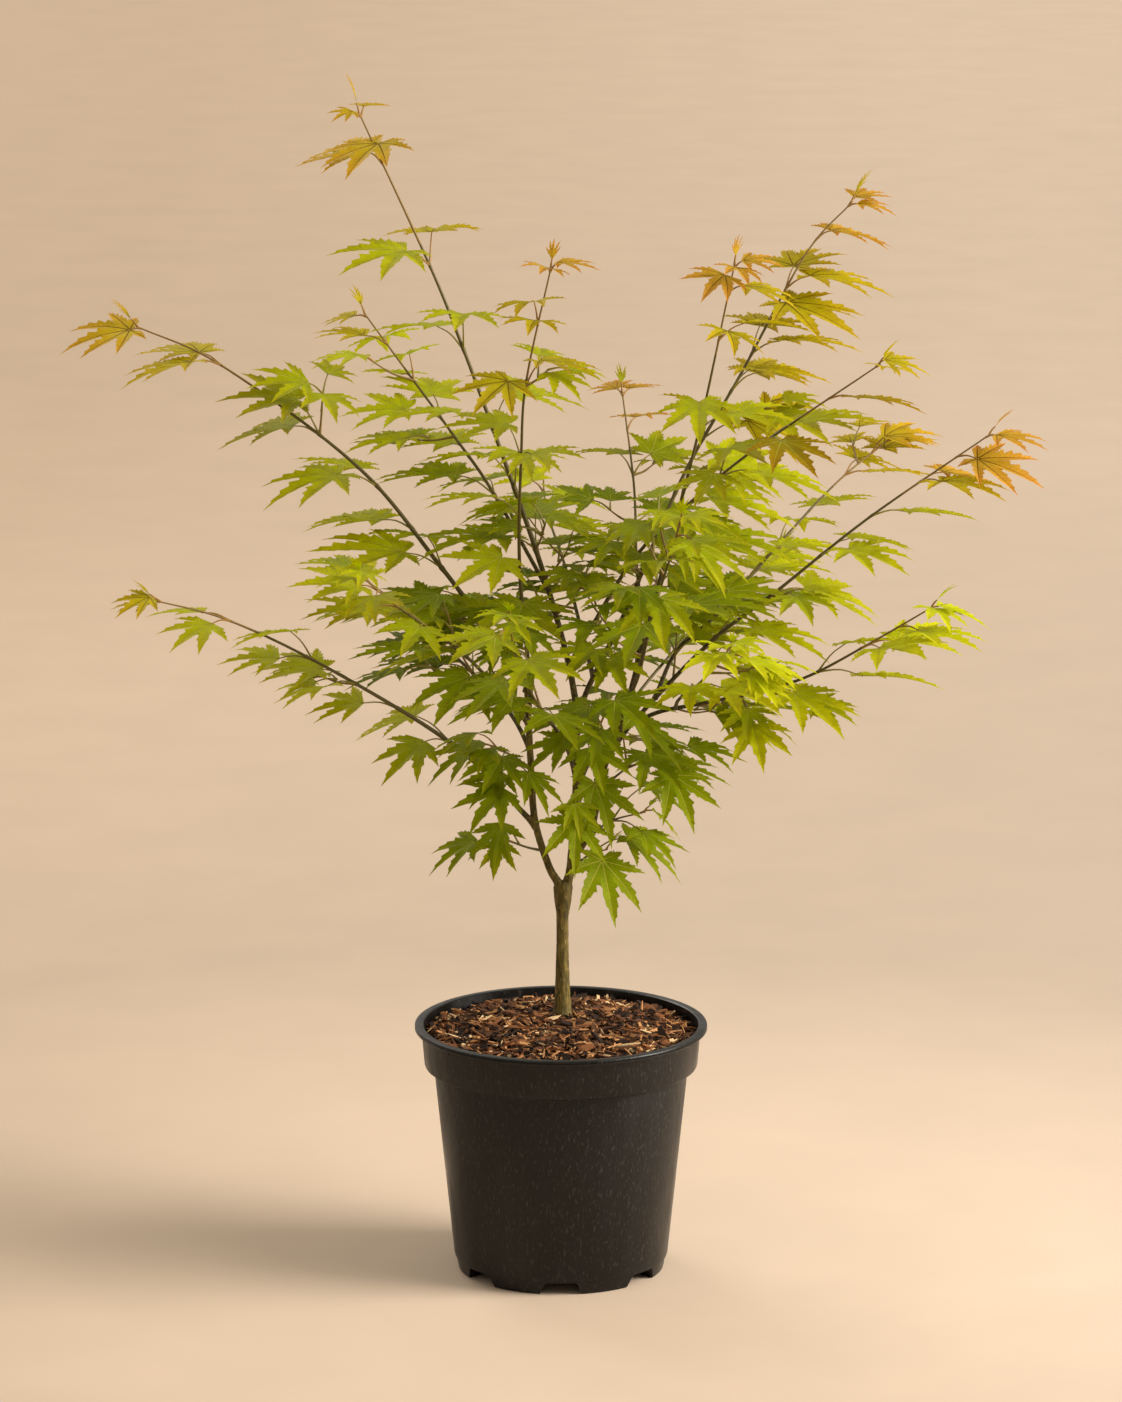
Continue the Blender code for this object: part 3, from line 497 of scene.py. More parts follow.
def buildChips():
    c = chipShape
    chance = random.Random(c["seed"])
    forms = [chipForm(chance) for _ in range(c["forms"])]
    heap = Heap()
    trunkFoot = onTrunk(0).to_2d()
    for kind, (count, lengths, widths, thicknesses, steepness) in c["kinds"].items():
        placed, weights = 0, c["weights"][kind]
        while placed < count:
            radius = c["reach"] * math.sqrt(chance.random())
            turn = chance.uniform(0, math.tau)
            spot = Vector((radius * math.cos(turn), radius * math.sin(turn)))
            length = chance.uniform(*lengths) * (0.6 + 0.4 * chance.random())
            nearTrunk = (spot - trunkFoot).length < c["clear"] + 0.3 * length
            if nearTrunk or radius + 0.45 * length > c["wall"]:
                continue
            size = (length, length * chance.uniform(*widths), length * chance.uniform(*thicknesses), 1)
            tilt = turned(chance.gauss(0, steepness) / 2, "Y", 4)
            roll = turned(chance.gauss(0, steepness), "X", 4)
            face = Matrix.Rotation(chance.uniform(0, math.tau), 4, "Z")
            height = readTable(soilShape["mound"], radius) + chance.uniform(*c["rise"])
            place = Matrix.Translation((*spot, height)) @ face @ tilt @ roll @ Matrix.Diagonal(size)
            points, faces = forms[chance.randrange(c["forms"])]
            heap.add([place @ point for point in points], faces,
                     chance.choices(range(len(weights)), weights)[0])
            placed += 1
    tints = [grainMaterial(name, linear(*colour), c) for name, colour in c["tints"]]
    finishPiece(heap.piece("barkChips"), tints, [], c["sharp"])


# Limbs: smooth paths that taper, each growing out of its parent

trunkShape = {
    "x": 0.0014, "y": 0.030, "top": 0.367, "soil": 0.2420, "gap": 0.0003,
    "sections": ((0.000, 0.0102), (0.006, 0.0086), (0.020, 0.0074), (0.046, 0.0065),
                 (0.072, 0.0058), (0.104, 0.0059), (0.118, 0.0079)),
}
limbRule = {
    "spacing": 0.021, "twigSpacing": 0.055, "bareEnd": 0.008, "upright": 0.004,
    "straightOn": 0.015, "dense": 24, "tip": 0.0007,
}


def onTrunk(height):
    return Vector((trunkShape["x"], trunkShape["y"], height))


def metres(points):
    return [tuple(value / 1000 for value in point) for point in points]


# Stems: foot on the trunk or on another stem, guide points in millimetres, radius at foot and top.
stemPlans = {
    "stem_left": {
        "foot": (-0.0026, 0.030), "radii": (0.0036, 0.0031),
        "guides": metres(((-12, 30, 389), (-25, 28, 434), (-29, 26, 493), (-32, 24, 560))),
    },
    "stem_centre": {
        "foot": (0.0060, 0.031), "radii": (0.0040, 0.0033),
        "guides": metres(((9, 32, 385), (12, 34, 426), (15, 36, 479), (14, 38, 534))),
    },
    "stem_right": {
        "from": ("stem_centre", 0.16), "radii": (0.0034, 0.0029),
        "guides": metres(((29, 30, 425), (40, 31, 480), (49, 30, 503), (55, 30, 521))),
    },
}


def shoot(parent, share, radius, leavesAt, lobes, guides, **more):
    return {"from": (parent, share), "radii": (radius, limbRule["tip"]), "leavesAt": leavesAt,
            "lobes": lobes, "guides": metres(guides), **more}


# Shoots: parent and share of its length, radius at the foot, shares of the length at which leaves
# stand, length of the middle lobe of the first and the last leaves, and guide points in
# millimetres. Some also give the size of the pair at the tip, as a share of the last leaves, the
# degrees by which the first pair is turned round the shoot from level, or how strongly the leaves
# lean outward. The bough is the bare stretch below the first leaves, which sprigs don't have, and
# the foliage is the rest.
shootPlans = {
    "left_low": shoot(
        "stem_left", 0.33, 0.0026, (0.27, 0.41, 0.52, 0.63, 0.83), (0.064, 0.052),
        ((-100, 1, 512), (-221, -43, 599), (-311, -76, 651), (-378, -100, 675))),
    "left_mid": shoot(
        "stem_left", 1.0, 0.0028, (0.19, 0.28, 0.37, 0.47, 0.61, 0.83), (0.086, 0.07),
        ((-55, 28, 601), (-115, 38, 680), (-193, 51, 773), (-322, 70, 867), (-403, 80, 903)),
        tipPair=0.95),
    "left_front": shoot(
        "stem_left", 0.84, 0.0021, (0.26, 0.42, 0.6, 0.77, 0.89), (0.083, 0.058),
        ((-52, -4, 560), (-92, -44, 612), (-151, -129, 675), (-183, -180, 714))),
    "leader": shoot(
        "stem_centre", 1.0, 0.0031, (0.27, 0.37, 0.47, 0.6, 0.74, 0.91), (0.088, 0.078),
        ((3, 39, 602), (-23, 41, 692), (-64, 43, 810), (-91, 45, 884), (-123, 47, 965),
         (-190, 50, 1112)), tipPair=0.4, turn=45, lean=0.1),
    "leader_back": shoot(
        "leader", 0.2, 0.0021, (0.32, 0.46, 0.6, 0.74, 0.88), (0.083, 0.056),
        ((-65, 94, 740), (-102, 131, 787), (-191, 220, 893))),
    "centre_front": shoot(
        "stem_left", 0.93, 0.0022, (0.19, 0.31, 0.44, 0.57, 0.73, 0.87), (0.083, 0.054),
        ((-29, 0, 570), (-39, -14, 690), (-37, -52, 805), (-32, -78, 879), (-9, -120, 992))),
    "right_high": shoot(
        "stem_centre", 0.9, 0.0028, (0.31, 0.44, 0.54, 0.63, 0.7, 0.76, 0.82, 0.915), (0.088, 0.072),
        ((24, 52, 553), (60, 40, 632), (116, 60, 762), (171, 77, 858), (232, 92, 970),
         (276, 100, 1019)), tipPair=0.6),
    "right_front": shoot(
        "stem_right", 1.0, 0.0025, (0.39, 0.52, 0.65, 0.84, 0.94), (0.083, 0.052),
        ((75, 12, 599), (100, -15, 704), (129, -51, 828), (160, -100, 992))),
    "back_centre": shoot(
        "right_front", 0.14, 0.0019, (0.32, 0.5, 0.68, 0.85), (0.077, 0.05),
        ((76, 44, 632), (72, 78, 677), (70, 130, 740), (59, 200, 820))),
    "right_fore": shoot(
        "leader", 0.08, 0.0022, (0.29, 0.42, 0.55, 0.69, 0.86), (0.086, 0.06),
        ((26, 15, 620), (72, -12, 701), (132, -64, 771), (184, -109, 823), (290, -200, 915))),
    "right_mid": shoot(
        "stem_right", 0.88, 0.0024, (0.31, 0.45, 0.58, 0.71, 0.83, 0.92), (0.083, 0.062),
        ((75, 36, 535), (142, 23, 609), (204, 18, 659), (291, 10, 732), (404, 0, 814)), tipPair=1.0),
    "right_back": shoot(
        "right_mid", 0.13, 0.0021, (0.3, 0.43, 0.56, 0.69, 0.83, 0.93), (0.083, 0.058),
        ((110, 72, 588), (150, 96, 621), (217, 146, 687), (269, 185, 734), (321, 220, 770))),
    "right_low": shoot(
        "right_mid", 0.06, 0.0022, (0.28, 0.44, 0.6, 0.75, 0.88), (0.076, 0.066),
        ((96, 4, 546), (137, -5, 556), (196, -34, 576), (237, -55, 595), (290, -86, 632),
         (345, -120, 673))),
    "right_fringe": shoot(
        "right_low", 0.17, 0.0018, (0.42, 0.66, 0.86), (0.07, 0.052),
        ((112, -48, 570), (132, -122, 604), (155, -215, 655))),
    "front_left": shoot(
        "stem_centre", 0.62, 0.0021, (0.36, 0.54, 0.72, 0.88), (0.08, 0.058),
        ((3, -16, 520), (-26, -110, 585), (-42, -215, 650), (-46, -320, 705))),
    "front_right": shoot(
        "right_front", 0.07, 0.002, (0.36, 0.54, 0.72, 0.88), (0.08, 0.058),
        ((74, -22, 590), (86, -115, 668), (100, -215, 740), (108, -305, 792))),
    "back_left": shoot(
        "stem_left", 0.72, 0.0021, (0.34, 0.52, 0.7, 0.87), (0.08, 0.058),
        ((-52, 62, 535), (-105, 150, 570), (-165, 235, 605), (-215, 300, 628)), turn=25),
    "back_high": shoot(
        "right_high", 0.1, 0.0021, (0.34, 0.52, 0.7, 0.87), (0.08, 0.058),
        ((20, 98, 602), (4, 180, 650), (-14, 270, 688), (-18, 345, 712))),
    "back_right": shoot(
        "stem_centre", 0.56, 0.0021, (0.34, 0.52, 0.7, 0.87), (0.08, 0.058),
        ((34, 70, 492), (92, 160, 550), (160, 240, 604), (215, 300, 640))),
    "sprig_left": shoot(
        "stem_left", 0.2, 0.0012, (0.55,), (0.056, 0.05),
        ((-34, 10, 412), (-56, -18, 428))),
    "sprig_right": shoot(
        "stem_right", 0.16, 0.0012, (0.5,), (0.06, 0.05),
        ((46, 12, 436), (80, -14, 452))),
    "sprig_front": shoot(
        "stem_left", 0.62, 0.0013, (0.5, 0.8), (0.066, 0.05),
        ((-48, -8, 506), (-66, -44, 522))),
    "sprig_centre": shoot(
        "stem_centre", 0.42, 0.0013, (0.55,), (0.063, 0.05),
        ((16, -16, 458), (8, -54, 470))),
    "sprig_fore_right": shoot(
        "stem_right", 0.55, 0.0013, (0.45, 0.75), (0.075, 0.06),
        ((68, 0, 494), (104, -32, 506)), turn=40),
    "sprig_high": shoot(
        "stem_right", 0.8, 0.0013, (0.5, 0.8), (0.075, 0.06),
        ((40, -10, 530), (35, -45, 550))),
    "sprig_low": shoot(
        "stem_centre", 0.1, 0.0013, (0.55,), (0.07, 0.06),
        ((26, 8, 404), (44, -16, 416))),
}
boughNames = [name for name in shootPlans if not name.startswith("sprig")]


class Limb:
    def __init__(self, guides, radii):
        self.path = self.smooth([Vector(point) for point in guides])
        self.total = [0.0]
        for start, end in zip(self.path, self.path[1:]):
            self.total.append(self.total[-1] + (end - start).length)
        self.length = self.total[-1]
        self.radii = radii

    @staticmethod
    def smooth(guides):
        ends = [2 * guides[0] - guides[1], *guides, 2 * guides[-1] - guides[-2]]
        path = []
        for before, start, end, after in zip(ends, ends[1:], ends[2:], ends[3:]):
            for step in range(limbRule["dense"]):
                t = step / limbRule["dense"]
                path.append(
                    0.5 * (2 * start + (end - before) * t
                           + (2 * before - 5 * start + 4 * end - after) * t**2
                           + (3 * start - before - 3 * end + after) * t**3)
                )
        return [*path, guides[-1]]

    def at(self, distance):
        # the point at this distance along the path, and the path's direction there
        index = 0
        while index < len(self.path) - 2 and self.total[index + 1] < distance:
            index += 1
        start, end = self.path[index], self.path[index + 1]
        share = (distance - self.total[index]) / (self.total[index + 1] - self.total[index])
        return start.lerp(end, share), (end - start).normalized()

    def radius(self, distance):
        return blend(self.radii, min(max(distance / self.length, 0), 1))

    def stretch(self, stops, spacing):
        marks = [stops[0]]
        for start, end in zip(stops, stops[1:]):
            steps = max(1, round((end - start) / spacing))
            marks += [start + (end - start) * (i + 1) / steps for i in range(steps)]
        return [(self.at(mark)[0], self.radius(mark)) for mark in marks]


def plainTube(sections, resolution):
    # the plain limb that leaves are tried against for room: its points and faces
    curve = bpy.data.curves.new("plainTube", "CURVE")
    curve.dimensions = "3D"
    curve.bevel_depth = 1.0
    curve.bevel_resolution = resolution
    curve.use_fill_caps = True
    spline = curve.splines.new("POLY")
    spline.points.add(len(sections) - 1)
    for point, (place, radius) in zip(spline.points, sections):
        point.co = (*place, 1.0)
        point.radius = radius
    drawn = addObject("plainTube", curve)
    mesh = meshOf(drawn)
    bpy.data.objects.remove(drawn)
    bpy.data.curves.remove(curve)
    shape = bmesh.new()
    shape.from_mesh(mesh)
    bpy.data.meshes.remove(mesh)
    bmesh.ops.remove_doubles(shape, verts=shape.verts, dist=0.000001)
    bmesh.ops.recalc_face_normals(shape, faces=shape.faces)
    return takeApart(shape)


def footDistance(limb, parentTree):
    # how far along its path a side limb comes clear of its parent
    start = 0.0
    while start < limb.length:
        centre, direction = limb.at(start)
        across = direction.orthogonal().normalized()
        for turn in range(0, 360, 15):
            point = centre + turned(turn, direction) @ across * limb.radii[0]
            near, normal, _, distance = parentTree.find_nearest(point)
            if distance < trunkShape["gap"] or (point - near).dot(normal) < 0:
                break
        else:
            return start
        start += trunkShape["gap"]
    return start


def growLimb(plan):
    # the limb, and how far along its path it starts
    gap = trunkShape["gap"]
    if "foot" in plan:
        foot = Vector((*plan["foot"], trunkShape["top"] + gap))
        guides = (foot, foot + Vector((0, 0, limbRule["upright"])), *plan["guides"])
        return Limb(guides, plan["radii"]), 0.0
    parentName, share = plan["from"]
    parent = limbs[parentName]
    root, along = parent.at(share * parent.length)
    if share == 1:
        guides = (root, root + along * limbRule["straightOn"], *plan["guides"])
        return Limb(guides, plan["radii"]), 2 * gap
    limb = Limb((root, *plan["guides"]), plan["radii"])
    return limb, footDistance(limb, trees[parentName])


# Leaves: where each one stands, by the growth rule of the CAD crown. Angles are in degrees.

leafRule = {
    "lobes": ((0, 1.00), (33, 0.90), (70, 0.66), (114, 0.37)),
    "notches": ((16.5, 0.31), (51, 0.27), (91, 0.21)),
    "foot": (165, 0.05), "small": 0.062, "sag": 0.13, "fold": 0.10, "sizes": 0.12,
    "stalk": (0.040, 0.012), "stalkHold": 3, "stalkRadius": 0.0007, "stalks": (0.85, 1.15),
    "rise": (34, 62), "lowDroop": (16, 52), "highDroop": (-10, 14), "leastNod": -6,
    "crownFoot": 0.44, "crownTop": 0.60, "lean": 0.55, "roll": 15, "turn": 24, "tries": 10,
    "lowest": -0.25, "levelled": 0.9, "seed": 100,
    "endStalk": 0.010, "endDroop": -90, "endSpread": 0.45, "endLobe": 0.42, "endLift": 0.6,
    "endBack": 0.002, "tipPair": 0.75, "tipBack": 0.006,
    "clear": 0.0022, "growth": 1.03, "stalkClear": 0.0045,
    "spurShare": 0.12, "spurLength": (0.028, 0.055), "spurClear": 0.0016, "spurOldest": 0.75,
    "spurAim": (0.8, 0.6), "spurBack": 0.003, "spurLobe": 0.72, "spurStalk": 0.5,
}


def level(direction):
    # the level unit vector at right angles to this one
    across = direction.cross(Vector((0, 0, 1)))
    return across.normalized() if across.length > 0.05 else Vector((1, 0, 0))


def swing(chance, degrees):
    return math.radians(chance.uniform(-degrees, degrees))


class Leaf:
    def __init__(self, root, stalk, droop, roll, lobe, spread=1.0):
        self.root, self.spread, self.lobe = root, spread, lobe
        self.hub = root + stalk
        heading = stalk.normalized()
        nod = max(math.asin(heading.z) + droop, math.radians(leafRule["leastNod"]))
        side = level(heading)
        self.axis = Matrix.Rotation(-nod, 3, side) @ heading
        self.side = Matrix.Rotation(roll, 3, self.axis) @ side
        self.normal = self.side.cross(self.axis).normalized()

    def place(self, along, across, lift=0.0):
        # from the blade's own plane, in lobe lengths, into the crown
        height = leafRule["fold"] * abs(across) - leafRule["sag"] * (along**2 + across**2) + lift
        return self.hub + self.lobe * (self.axis * along + self.side * across + self.normal * height)

    def at(self, angle, reach):
        return self.place(reach * math.cos(angle), reach * math.sin(angle))


def plainBlade(leaf, thickness, growth, stalkFrom):
    # the CAD leaf: flat blade and three-sided stalk, for trying whether it has room
    rule = leafRule
    pairs = len(rule["notches"]) - (leaf.lobe <= rule["small"])
    half = sorted([*rule["lobes"][1 : pairs + 1], *rule["notches"][:pairs]])
    right = [(math.radians(angle * leaf.spread), reach) for angle, reach in half]
    right.append((math.radians(rule["foot"][0]), rule["foot"][1]))
    left = [(-angle, reach) for angle, reach in reversed(right)]
    outline = [leaf.at(angle, reach * growth) for angle, reach in [*left, (0.0, 1.0), *right]]
    count = len(outline)
    bottom = leaf.hub - leaf.normal * thickness
    points = [*outline, leaf.hub + leaf.normal * thickness, bottom]
    over, under, last = count, count + 1, count - 1
    faces = [(over, i, i + 1) for i in range(last)] + [(over, last, 0)]
    faces += [(under, i + 1, i) for i in range(last)]
    inward = leaf.root - leaf.hub
    foot = leaf.hub + inward * (1 - stalkFrom / inward.length)
    aim = inward.normalized()
    across = (outline[last] - outline[0]).normalized()
    across = (across - aim * across.dot(aim)).normalized()
    depth = aim.cross(across)
    if depth.dot(bottom - outline[0]) < 0:
        depth = -depth
    first, thin = len(points), rule["stalkRadius"]
    points += [foot - across * thin - depth * thin / 2, foot + across * thin - depth * thin / 2,
               foot + depth * thin]
    ring, end = (0, last, under), (first, first + 1, first + 2)
    for i in range(3):
        j = (i + 1) % 3
        faces += [(ring[i], ring[j], end[j]), (ring[i], end[j], end[i])]
    return points, [*faces, end]


class Room:
    # what already stands in the crown
    def __init__(self):
        self.taken = []

    def tryToAdd(self, points, faces, anyway=False):
        middle = sum(points, Vector()) / len(points)
        reach = max((point - middle).length for point in points)
        tree = BVHTree.FromPolygons(points, faces)
        if not anyway:
            for otherMiddle, otherReach, other in self.taken:
                if (middle - otherMiddle).length < reach + otherReach and tree.overlap(other):
                    return False
        self.taken.append((middle, reach, tree))
        return True


def plainRod(start, end, radius):
    # a three-sided twig
    along = (end - start).normalized()
    across = along.cross(Vector((0, 0, 1)) if abs(along.z) < 0.9 else Vector((1, 0, 0))).normalized()
    points = [middle + turned(turn, along) @ across * radius
              for middle in (start, end) for turn in (0, 120, 240)]
    faces = [(0, 1, 2), (5, 4, 3)]
    for i in range(3):
        j = (i + 1) % 3
        faces += [(i, 3 + i, 3 + j), (i, 3 + j, j)]
    return points, faces


def outward(direction, turn):
    # a unit vector at right angles to the shoot; a turn of 0 is level
    flat = level(direction)
    away = flat * math.cos(turn) + flat.cross(direction).normalized() * math.sin(turn)
    if away.z < leafRule["lowest"]:
        away += flat * math.copysign(leafRule["levelled"], math.cos(turn))
    return away.normalized()


def leafAt(point, direction, turn, lobe, stalk, lean, chance):
    # tries a few turns and nods, and keeps the first that has room
    rule = leafRule
    height = (point.z - rule["crownFoot"]) / (rule["crownTop"] - rule["crownFoot"])
    droops = [blend(pair, min(max(height, 0), 1)) for pair in zip(rule["lowDroop"], rule["highDroop"])]
    for _ in range(rule["tries"]):
        around = turn + swing(chance, rule["turn"])
        rise = math.radians(chance.uniform(*rule["rise"]))
        droop = math.radians(chance.uniform(*droops))
        roll = swing(chance, rule["roll"])
        size = lobe * (1 + chance.uniform(-rule["sizes"], rule["sizes"]))
        away = outward(direction, around)
        spread = Vector((point.x, point.y, 0)).normalized() * lean
        heading = (away * math.cos(rise) + direction * math.sin(rise) + spread).normalized()
        leaf = Leaf(point, heading * stalk * chance.uniform(*rule["stalks"]), droop, roll, size)
        if room.tryToAdd(*plainBlade(leaf, rule["clear"], rule["growth"], rule["stalkClear"])):
            return leaf
    return None


def endLeaf(point, direction, lobe, chance):
    rule = leafRule
    roll = swing(chance, rule["roll"])
    aim = (direction + Vector((0, 0, rule["endLift"]))).normalized()
    leaf = Leaf(point - direction * rule["endBack"], aim * rule["endStalk"],
                math.radians(rule["endDroop"]), roll, lobe, rule["endSpread"])
    shape = plainBlade(leaf, rule["clear"] / 2, 1.0, rule["endStalk"] / 2)
    return leaf if room.tryToAdd(*shape) else None


def growFoliage(name, plan, limb, chance):
    # opposite pairs, each square to the last, and a few side twigs; each leaf with its place 0..1
    rule = leafRule
    first, lean = plan["leavesAt"][0], plan.get("lean", rule["lean"])
    turn = math.radians(plan.get("turn", chance.uniform(0, 180)))

    def addPair(point, direction, turn, lobe, stalk, age):
        for side in (0, math.pi):
            leaf = leafAt(point, direction, turn + side, lobe, stalk, lean, chance)
            if leaf:
                crown[name].append((leaf, age))

    for share in plan["leavesAt"]:
        age = (share - first) / (1 - first)
        lobe = blend(plan["lobes"], age)
        stalk = blend(rule["stalk"], age**rule["stalkHold"])
        point, direction = limb.at(share * limb.length)
        addPair(point, direction, turn, lobe, stalk, age)
        turn += math.pi / 2
        if chance.random() < rule["spurShare"] and age < rule["spurOldest"]:
            out, on = rule["spurAim"]
            aim = (outward(direction, turn) * out + direction * on).normalized()
            tip = point + aim * chance.uniform(*rule["spurLength"])
            if room.tryToAdd(*plainRod(point + aim * rule["stalkClear"], tip, rule["spurClear"])):
                spurs[name].append((point, tip))
                addPair(tip - aim * rule["spurBack"], aim, 0, rule["spurLobe"] * lobe,
                        rule["spurStalk"] * stalk, age)
    tip, direction = limb.at(limb.length)
    last = plan["lobes"][1]
    leaf = endLeaf(tip, direction, rule["endLobe"] * last, chance)
    if leaf:
        crown[name].append((leaf, 1.0))
    addPair(tip - direction * rule["tipBack"], direction, turn,
            plan.get("tipPair", rule["tipPair"]) * last, rule["stalk"][1], 1.0)


limbs, trees = {}, {}
room = Room()
bark = trunkShape["soil"] + trunkShape["gap"]
trunkSections = [(onTrunk(bark + up), radius) for up, radius in trunkShape["sections"]]
trunkSections.append((onTrunk(trunkShape["top"]), trunkShape["sections"][-1][1]))
room.tryToAdd(*plainTube(trunkSections, 4), anyway=True)
for name, plan in {**stemPlans, **shootPlans}.items():
    limb, start = growLimb(plan)
    limbs[name] = limb
    wood = None
    if name in stemPlans:
        wood = limb.stretch((start, start + limbRule["upright"], limb.length), limbRule["spacing"])
    elif name in boughNames:
        split = plan["leavesAt"][0] * limb.length - limbRule["bareEnd"]
        wood = limb.stretch((start, split), limbRule["spacing"])
        start = split + trunkShape["gap"]
    if wood:
        tube = plainTube(wood, 2 if name in stemPlans else 1)
        room.tryToAdd(*tube, anyway=True)
        trees[name] = BVHTree.FromPolygons(*tube)
    if name in shootPlans:
        stops = (start, *[share * limb.length for share in plan["leavesAt"]], limb.length)
        room.tryToAdd(*plainTube(limb.stretch(stops, limbRule["twigSpacing"]), 0), anyway=True)

crown, spurs = {name: [] for name in shootPlans}, {name: [] for name in shootPlans}
for index, (name, plan) in enumerate(shootPlans.items()):
    growFoliage(name, plan, limbs[name], random.Random(leafRule["seed"] + index))
print("crown grown:", sum(len(leaves) for leaves in crown.values()), "leaves")


# Side twigs between the leaf pairs and on the bare stretch, kept inside the crown's reach

fillRule = {
    "seed": 700, "length": (0.030, 0.066), "shorter": 0.4, "lobe": 0.80, "stalk": 0.55, "tries": 4,
    "feet": (0.82, 0.60, 0.42),  # on the bare stretch, as shares of the way to the first pair
    "aim": (0.85, 0.55), "sizes": (0.75, 1.05), "age": 0.7,
    "leaves": ((0.55, 0.0), (0.55, math.pi), (0.97, math.pi / 2), (0.97, 1.5 * math.pi)),
}

# For each shoot its leaf tints from foot to tip, and how many side twigs fill it: first between
# the leaf pairs, then on the bare stretch.
shootLooks = {
    "left_low": ("Mid Lime Lime Lime Mustard", 1, 0),
    "left_mid": ("Mid Lime Olive Mustard Gold", 1, 1),
    "left_front": ("Low Mid Olive Lime", 1, 2),
    "leader": ("Mid Lime Lime Mustard Gold", 1, 2),
    "leader_back": ("Mid Lime Bright Mustard", 1, 0),
    "centre_front": ("Mid Lime Lime Mustard Amber", 1, 2),
    "right_high": ("Mid Olive Mustard Mustard Mustard Amber", 1, 3),
    "right_front": ("Mid Lime Lime Mustard Amber", 1, 2),
    "back_centre": ("Low Mid Olive Amber", 1, 2),
    "right_fore": ("Mid Lime Olive Bronze Mustard", 0, 2),
    "right_mid": ("Mid Lime Lime Mustard Amber", 0, 2),
    "right_back": ("Low Lime Mustard Gold", 1, 0),
    "right_low": ("Mid Lime Bright Bright", 1, 2),
    "right_fringe": ("Lime Bright Bright", 1, 0),
    "front_left": ("Low Mid Mid", 1, 1),
    "front_right": ("Low Mid Mid Lime", 1, 2),
    "back_left": ("Deep Low Mid Lime", 1, 1),
    "back_high": ("Deep Low Mid Lime", 1, 2),
    "back_right": ("Deep Low Mid Lime", 1, 2),
}
for name in shootPlans:
    if name not in boughNames:
        bare = name in ("sprig_low", "sprig_right", "sprig_left")
        shootLooks[name] = ("Low Low Mid", 0 if bare else 1, 0)


def insideCrown(leaf):
    return all(low <= value <= high for spot in ((1, 0), (0.6, 0.6), (0.6, -0.6))
               for low, value, high in zip(cadLow, leaf.place(*spot), cadHigh))


def fillShoot(name, plan, chance):
    # side twigs, each with a pair of leaves part way and one at its end
    limb, rule, stops = limbs[name], fillRule, plan["leavesAt"]
    _, between, below = shootLooks[name]
    places = [*stops[:-1], *[(a + b) / 2 for a, b in zip(stops, stops[1:])]]
    chosen = chance.sample(places, min(len(places), between))
    for share in sorted(chosen + [stops[0] * share for share in rule["feet"][:below]]):
        age = max((share - stops[0]) / (1 - stops[0]), 0)
        point, direction = limb.at(share * limb.length)
        lobe = blend(plan["lobes"], age) * rule["lobe"]
        for _ in range(rule["tries"]):
            out, on = rule["aim"]
            away = outward(direction, chance.uniform(0, math.tau))
            aim = (away * out + direction * on).normalized()
            tip = point + aim * (chance.uniform(*rule["length"]) * (1 - rule["shorter"] * age))
            if room.tryToAdd(*plainRod(point + aim * leafRule["stalkClear"], tip,
                                       leafRule["spurClear"])):
                break
        else:
            continue
        spurs[name].append((point, tip))
        for along, side in rule["leaves"]:
            leaf = leafAt(point.lerp(tip, along), aim, side, lobe * chance.uniform(*rule["sizes"]),
                          leafRule["stalk"][0] * rule["stalk"], leafRule["lean"], chance)
            if leaf and insideCrown(leaf):
                crown[name].append((leaf, age * rule["age"]))


for index, (name, plan) in enumerate(shootPlans.items()):
    fillShoot(name, plan, random.Random(fillRule["seed"] + index))
print("filled:", sum(len(leaves) for leaves in crown.values()), "leaves")


# Visible limbs: swept rings with swollen leaf joints and a flared foot

woodShape = {
    "voxel": 0.0007, "smoothings": 4, "sharp": 60, "step": 0.003, "overlap": 0.001,
    "below": 0.012, "trunkCap": ((0.367, 0.0078), (0.370, 0.0068), (0.373, 0.0050)),
    "sunk": 0.014, "sunkWidth": 1.5, "collar": 0.016, "collarWidths": (1.08, 0.3),
    "flareLength": 0.010, "joint": 0.30, "jointLength": 0.0024, "tipFrom": 0.7, "amberFrom": 0.6,
    "trunkRelief": (0.00022, (900, 900, 160)), "relief": 0.00012, "twigRelief": 0.6,
    "reliefStretch": (500, 500, 500),
    "flare": {"stem": 0.35, "collar": 0.75, "bough": 0.45, "sprig": 0.4, "spur": 0.4, "stalk": 0.5},
    "sides": {"trunk": 32, "stem": 24, "collar": 16, "bough": 12, "twig": 10, "spur": 7, "stalk": 5},
    # radii and arch, and a spur's step or how many steps a stalk has
    "spur": ((0.0011, 0.0007), -0.06, 0.004), "stalk": ((0.00085, 0.00055), 0.10, 6),
}
woodLooks = {
    "bark": {"roughness": 0.68, "specular": 0.35, "grain": (6.0, 0.62), "stops": (0.34, 0.52, 0.72),
             "spots": (420, (1, 1, 0.7), 2.0), "spotStops": ((0.62, 0), (0.72, 1)),
             "spot": (190, 172, 128), "bump": (0.6, 0.0008)},
    "barkOld": {"tints": ((48, 40, 9), (95, 79, 23), (140, 116, 56)), "stretch": (430, 430, 80),
                "speckle": 0.30},
    "barkYoung": {"tints": ((40, 36, 13), (80, 68, 27), (124, 106, 54)),
                  "stretch": (260, 260, 260), "speckle": 0.18},
    "twig": {"roughness": 0.55, "specular": 0.4, "grain": (500, (1, 1, 1), 3.0), "bump": (0.4, 0.0003)},
    "twigTints": (("twigOlive", (88, 76, 28)), ("twigTip", (124, 98, 42))),
    "stalkTints": (("stalkOlive", (128, 116, 40)), ("stalkAmber", (150, 112, 50))),
}


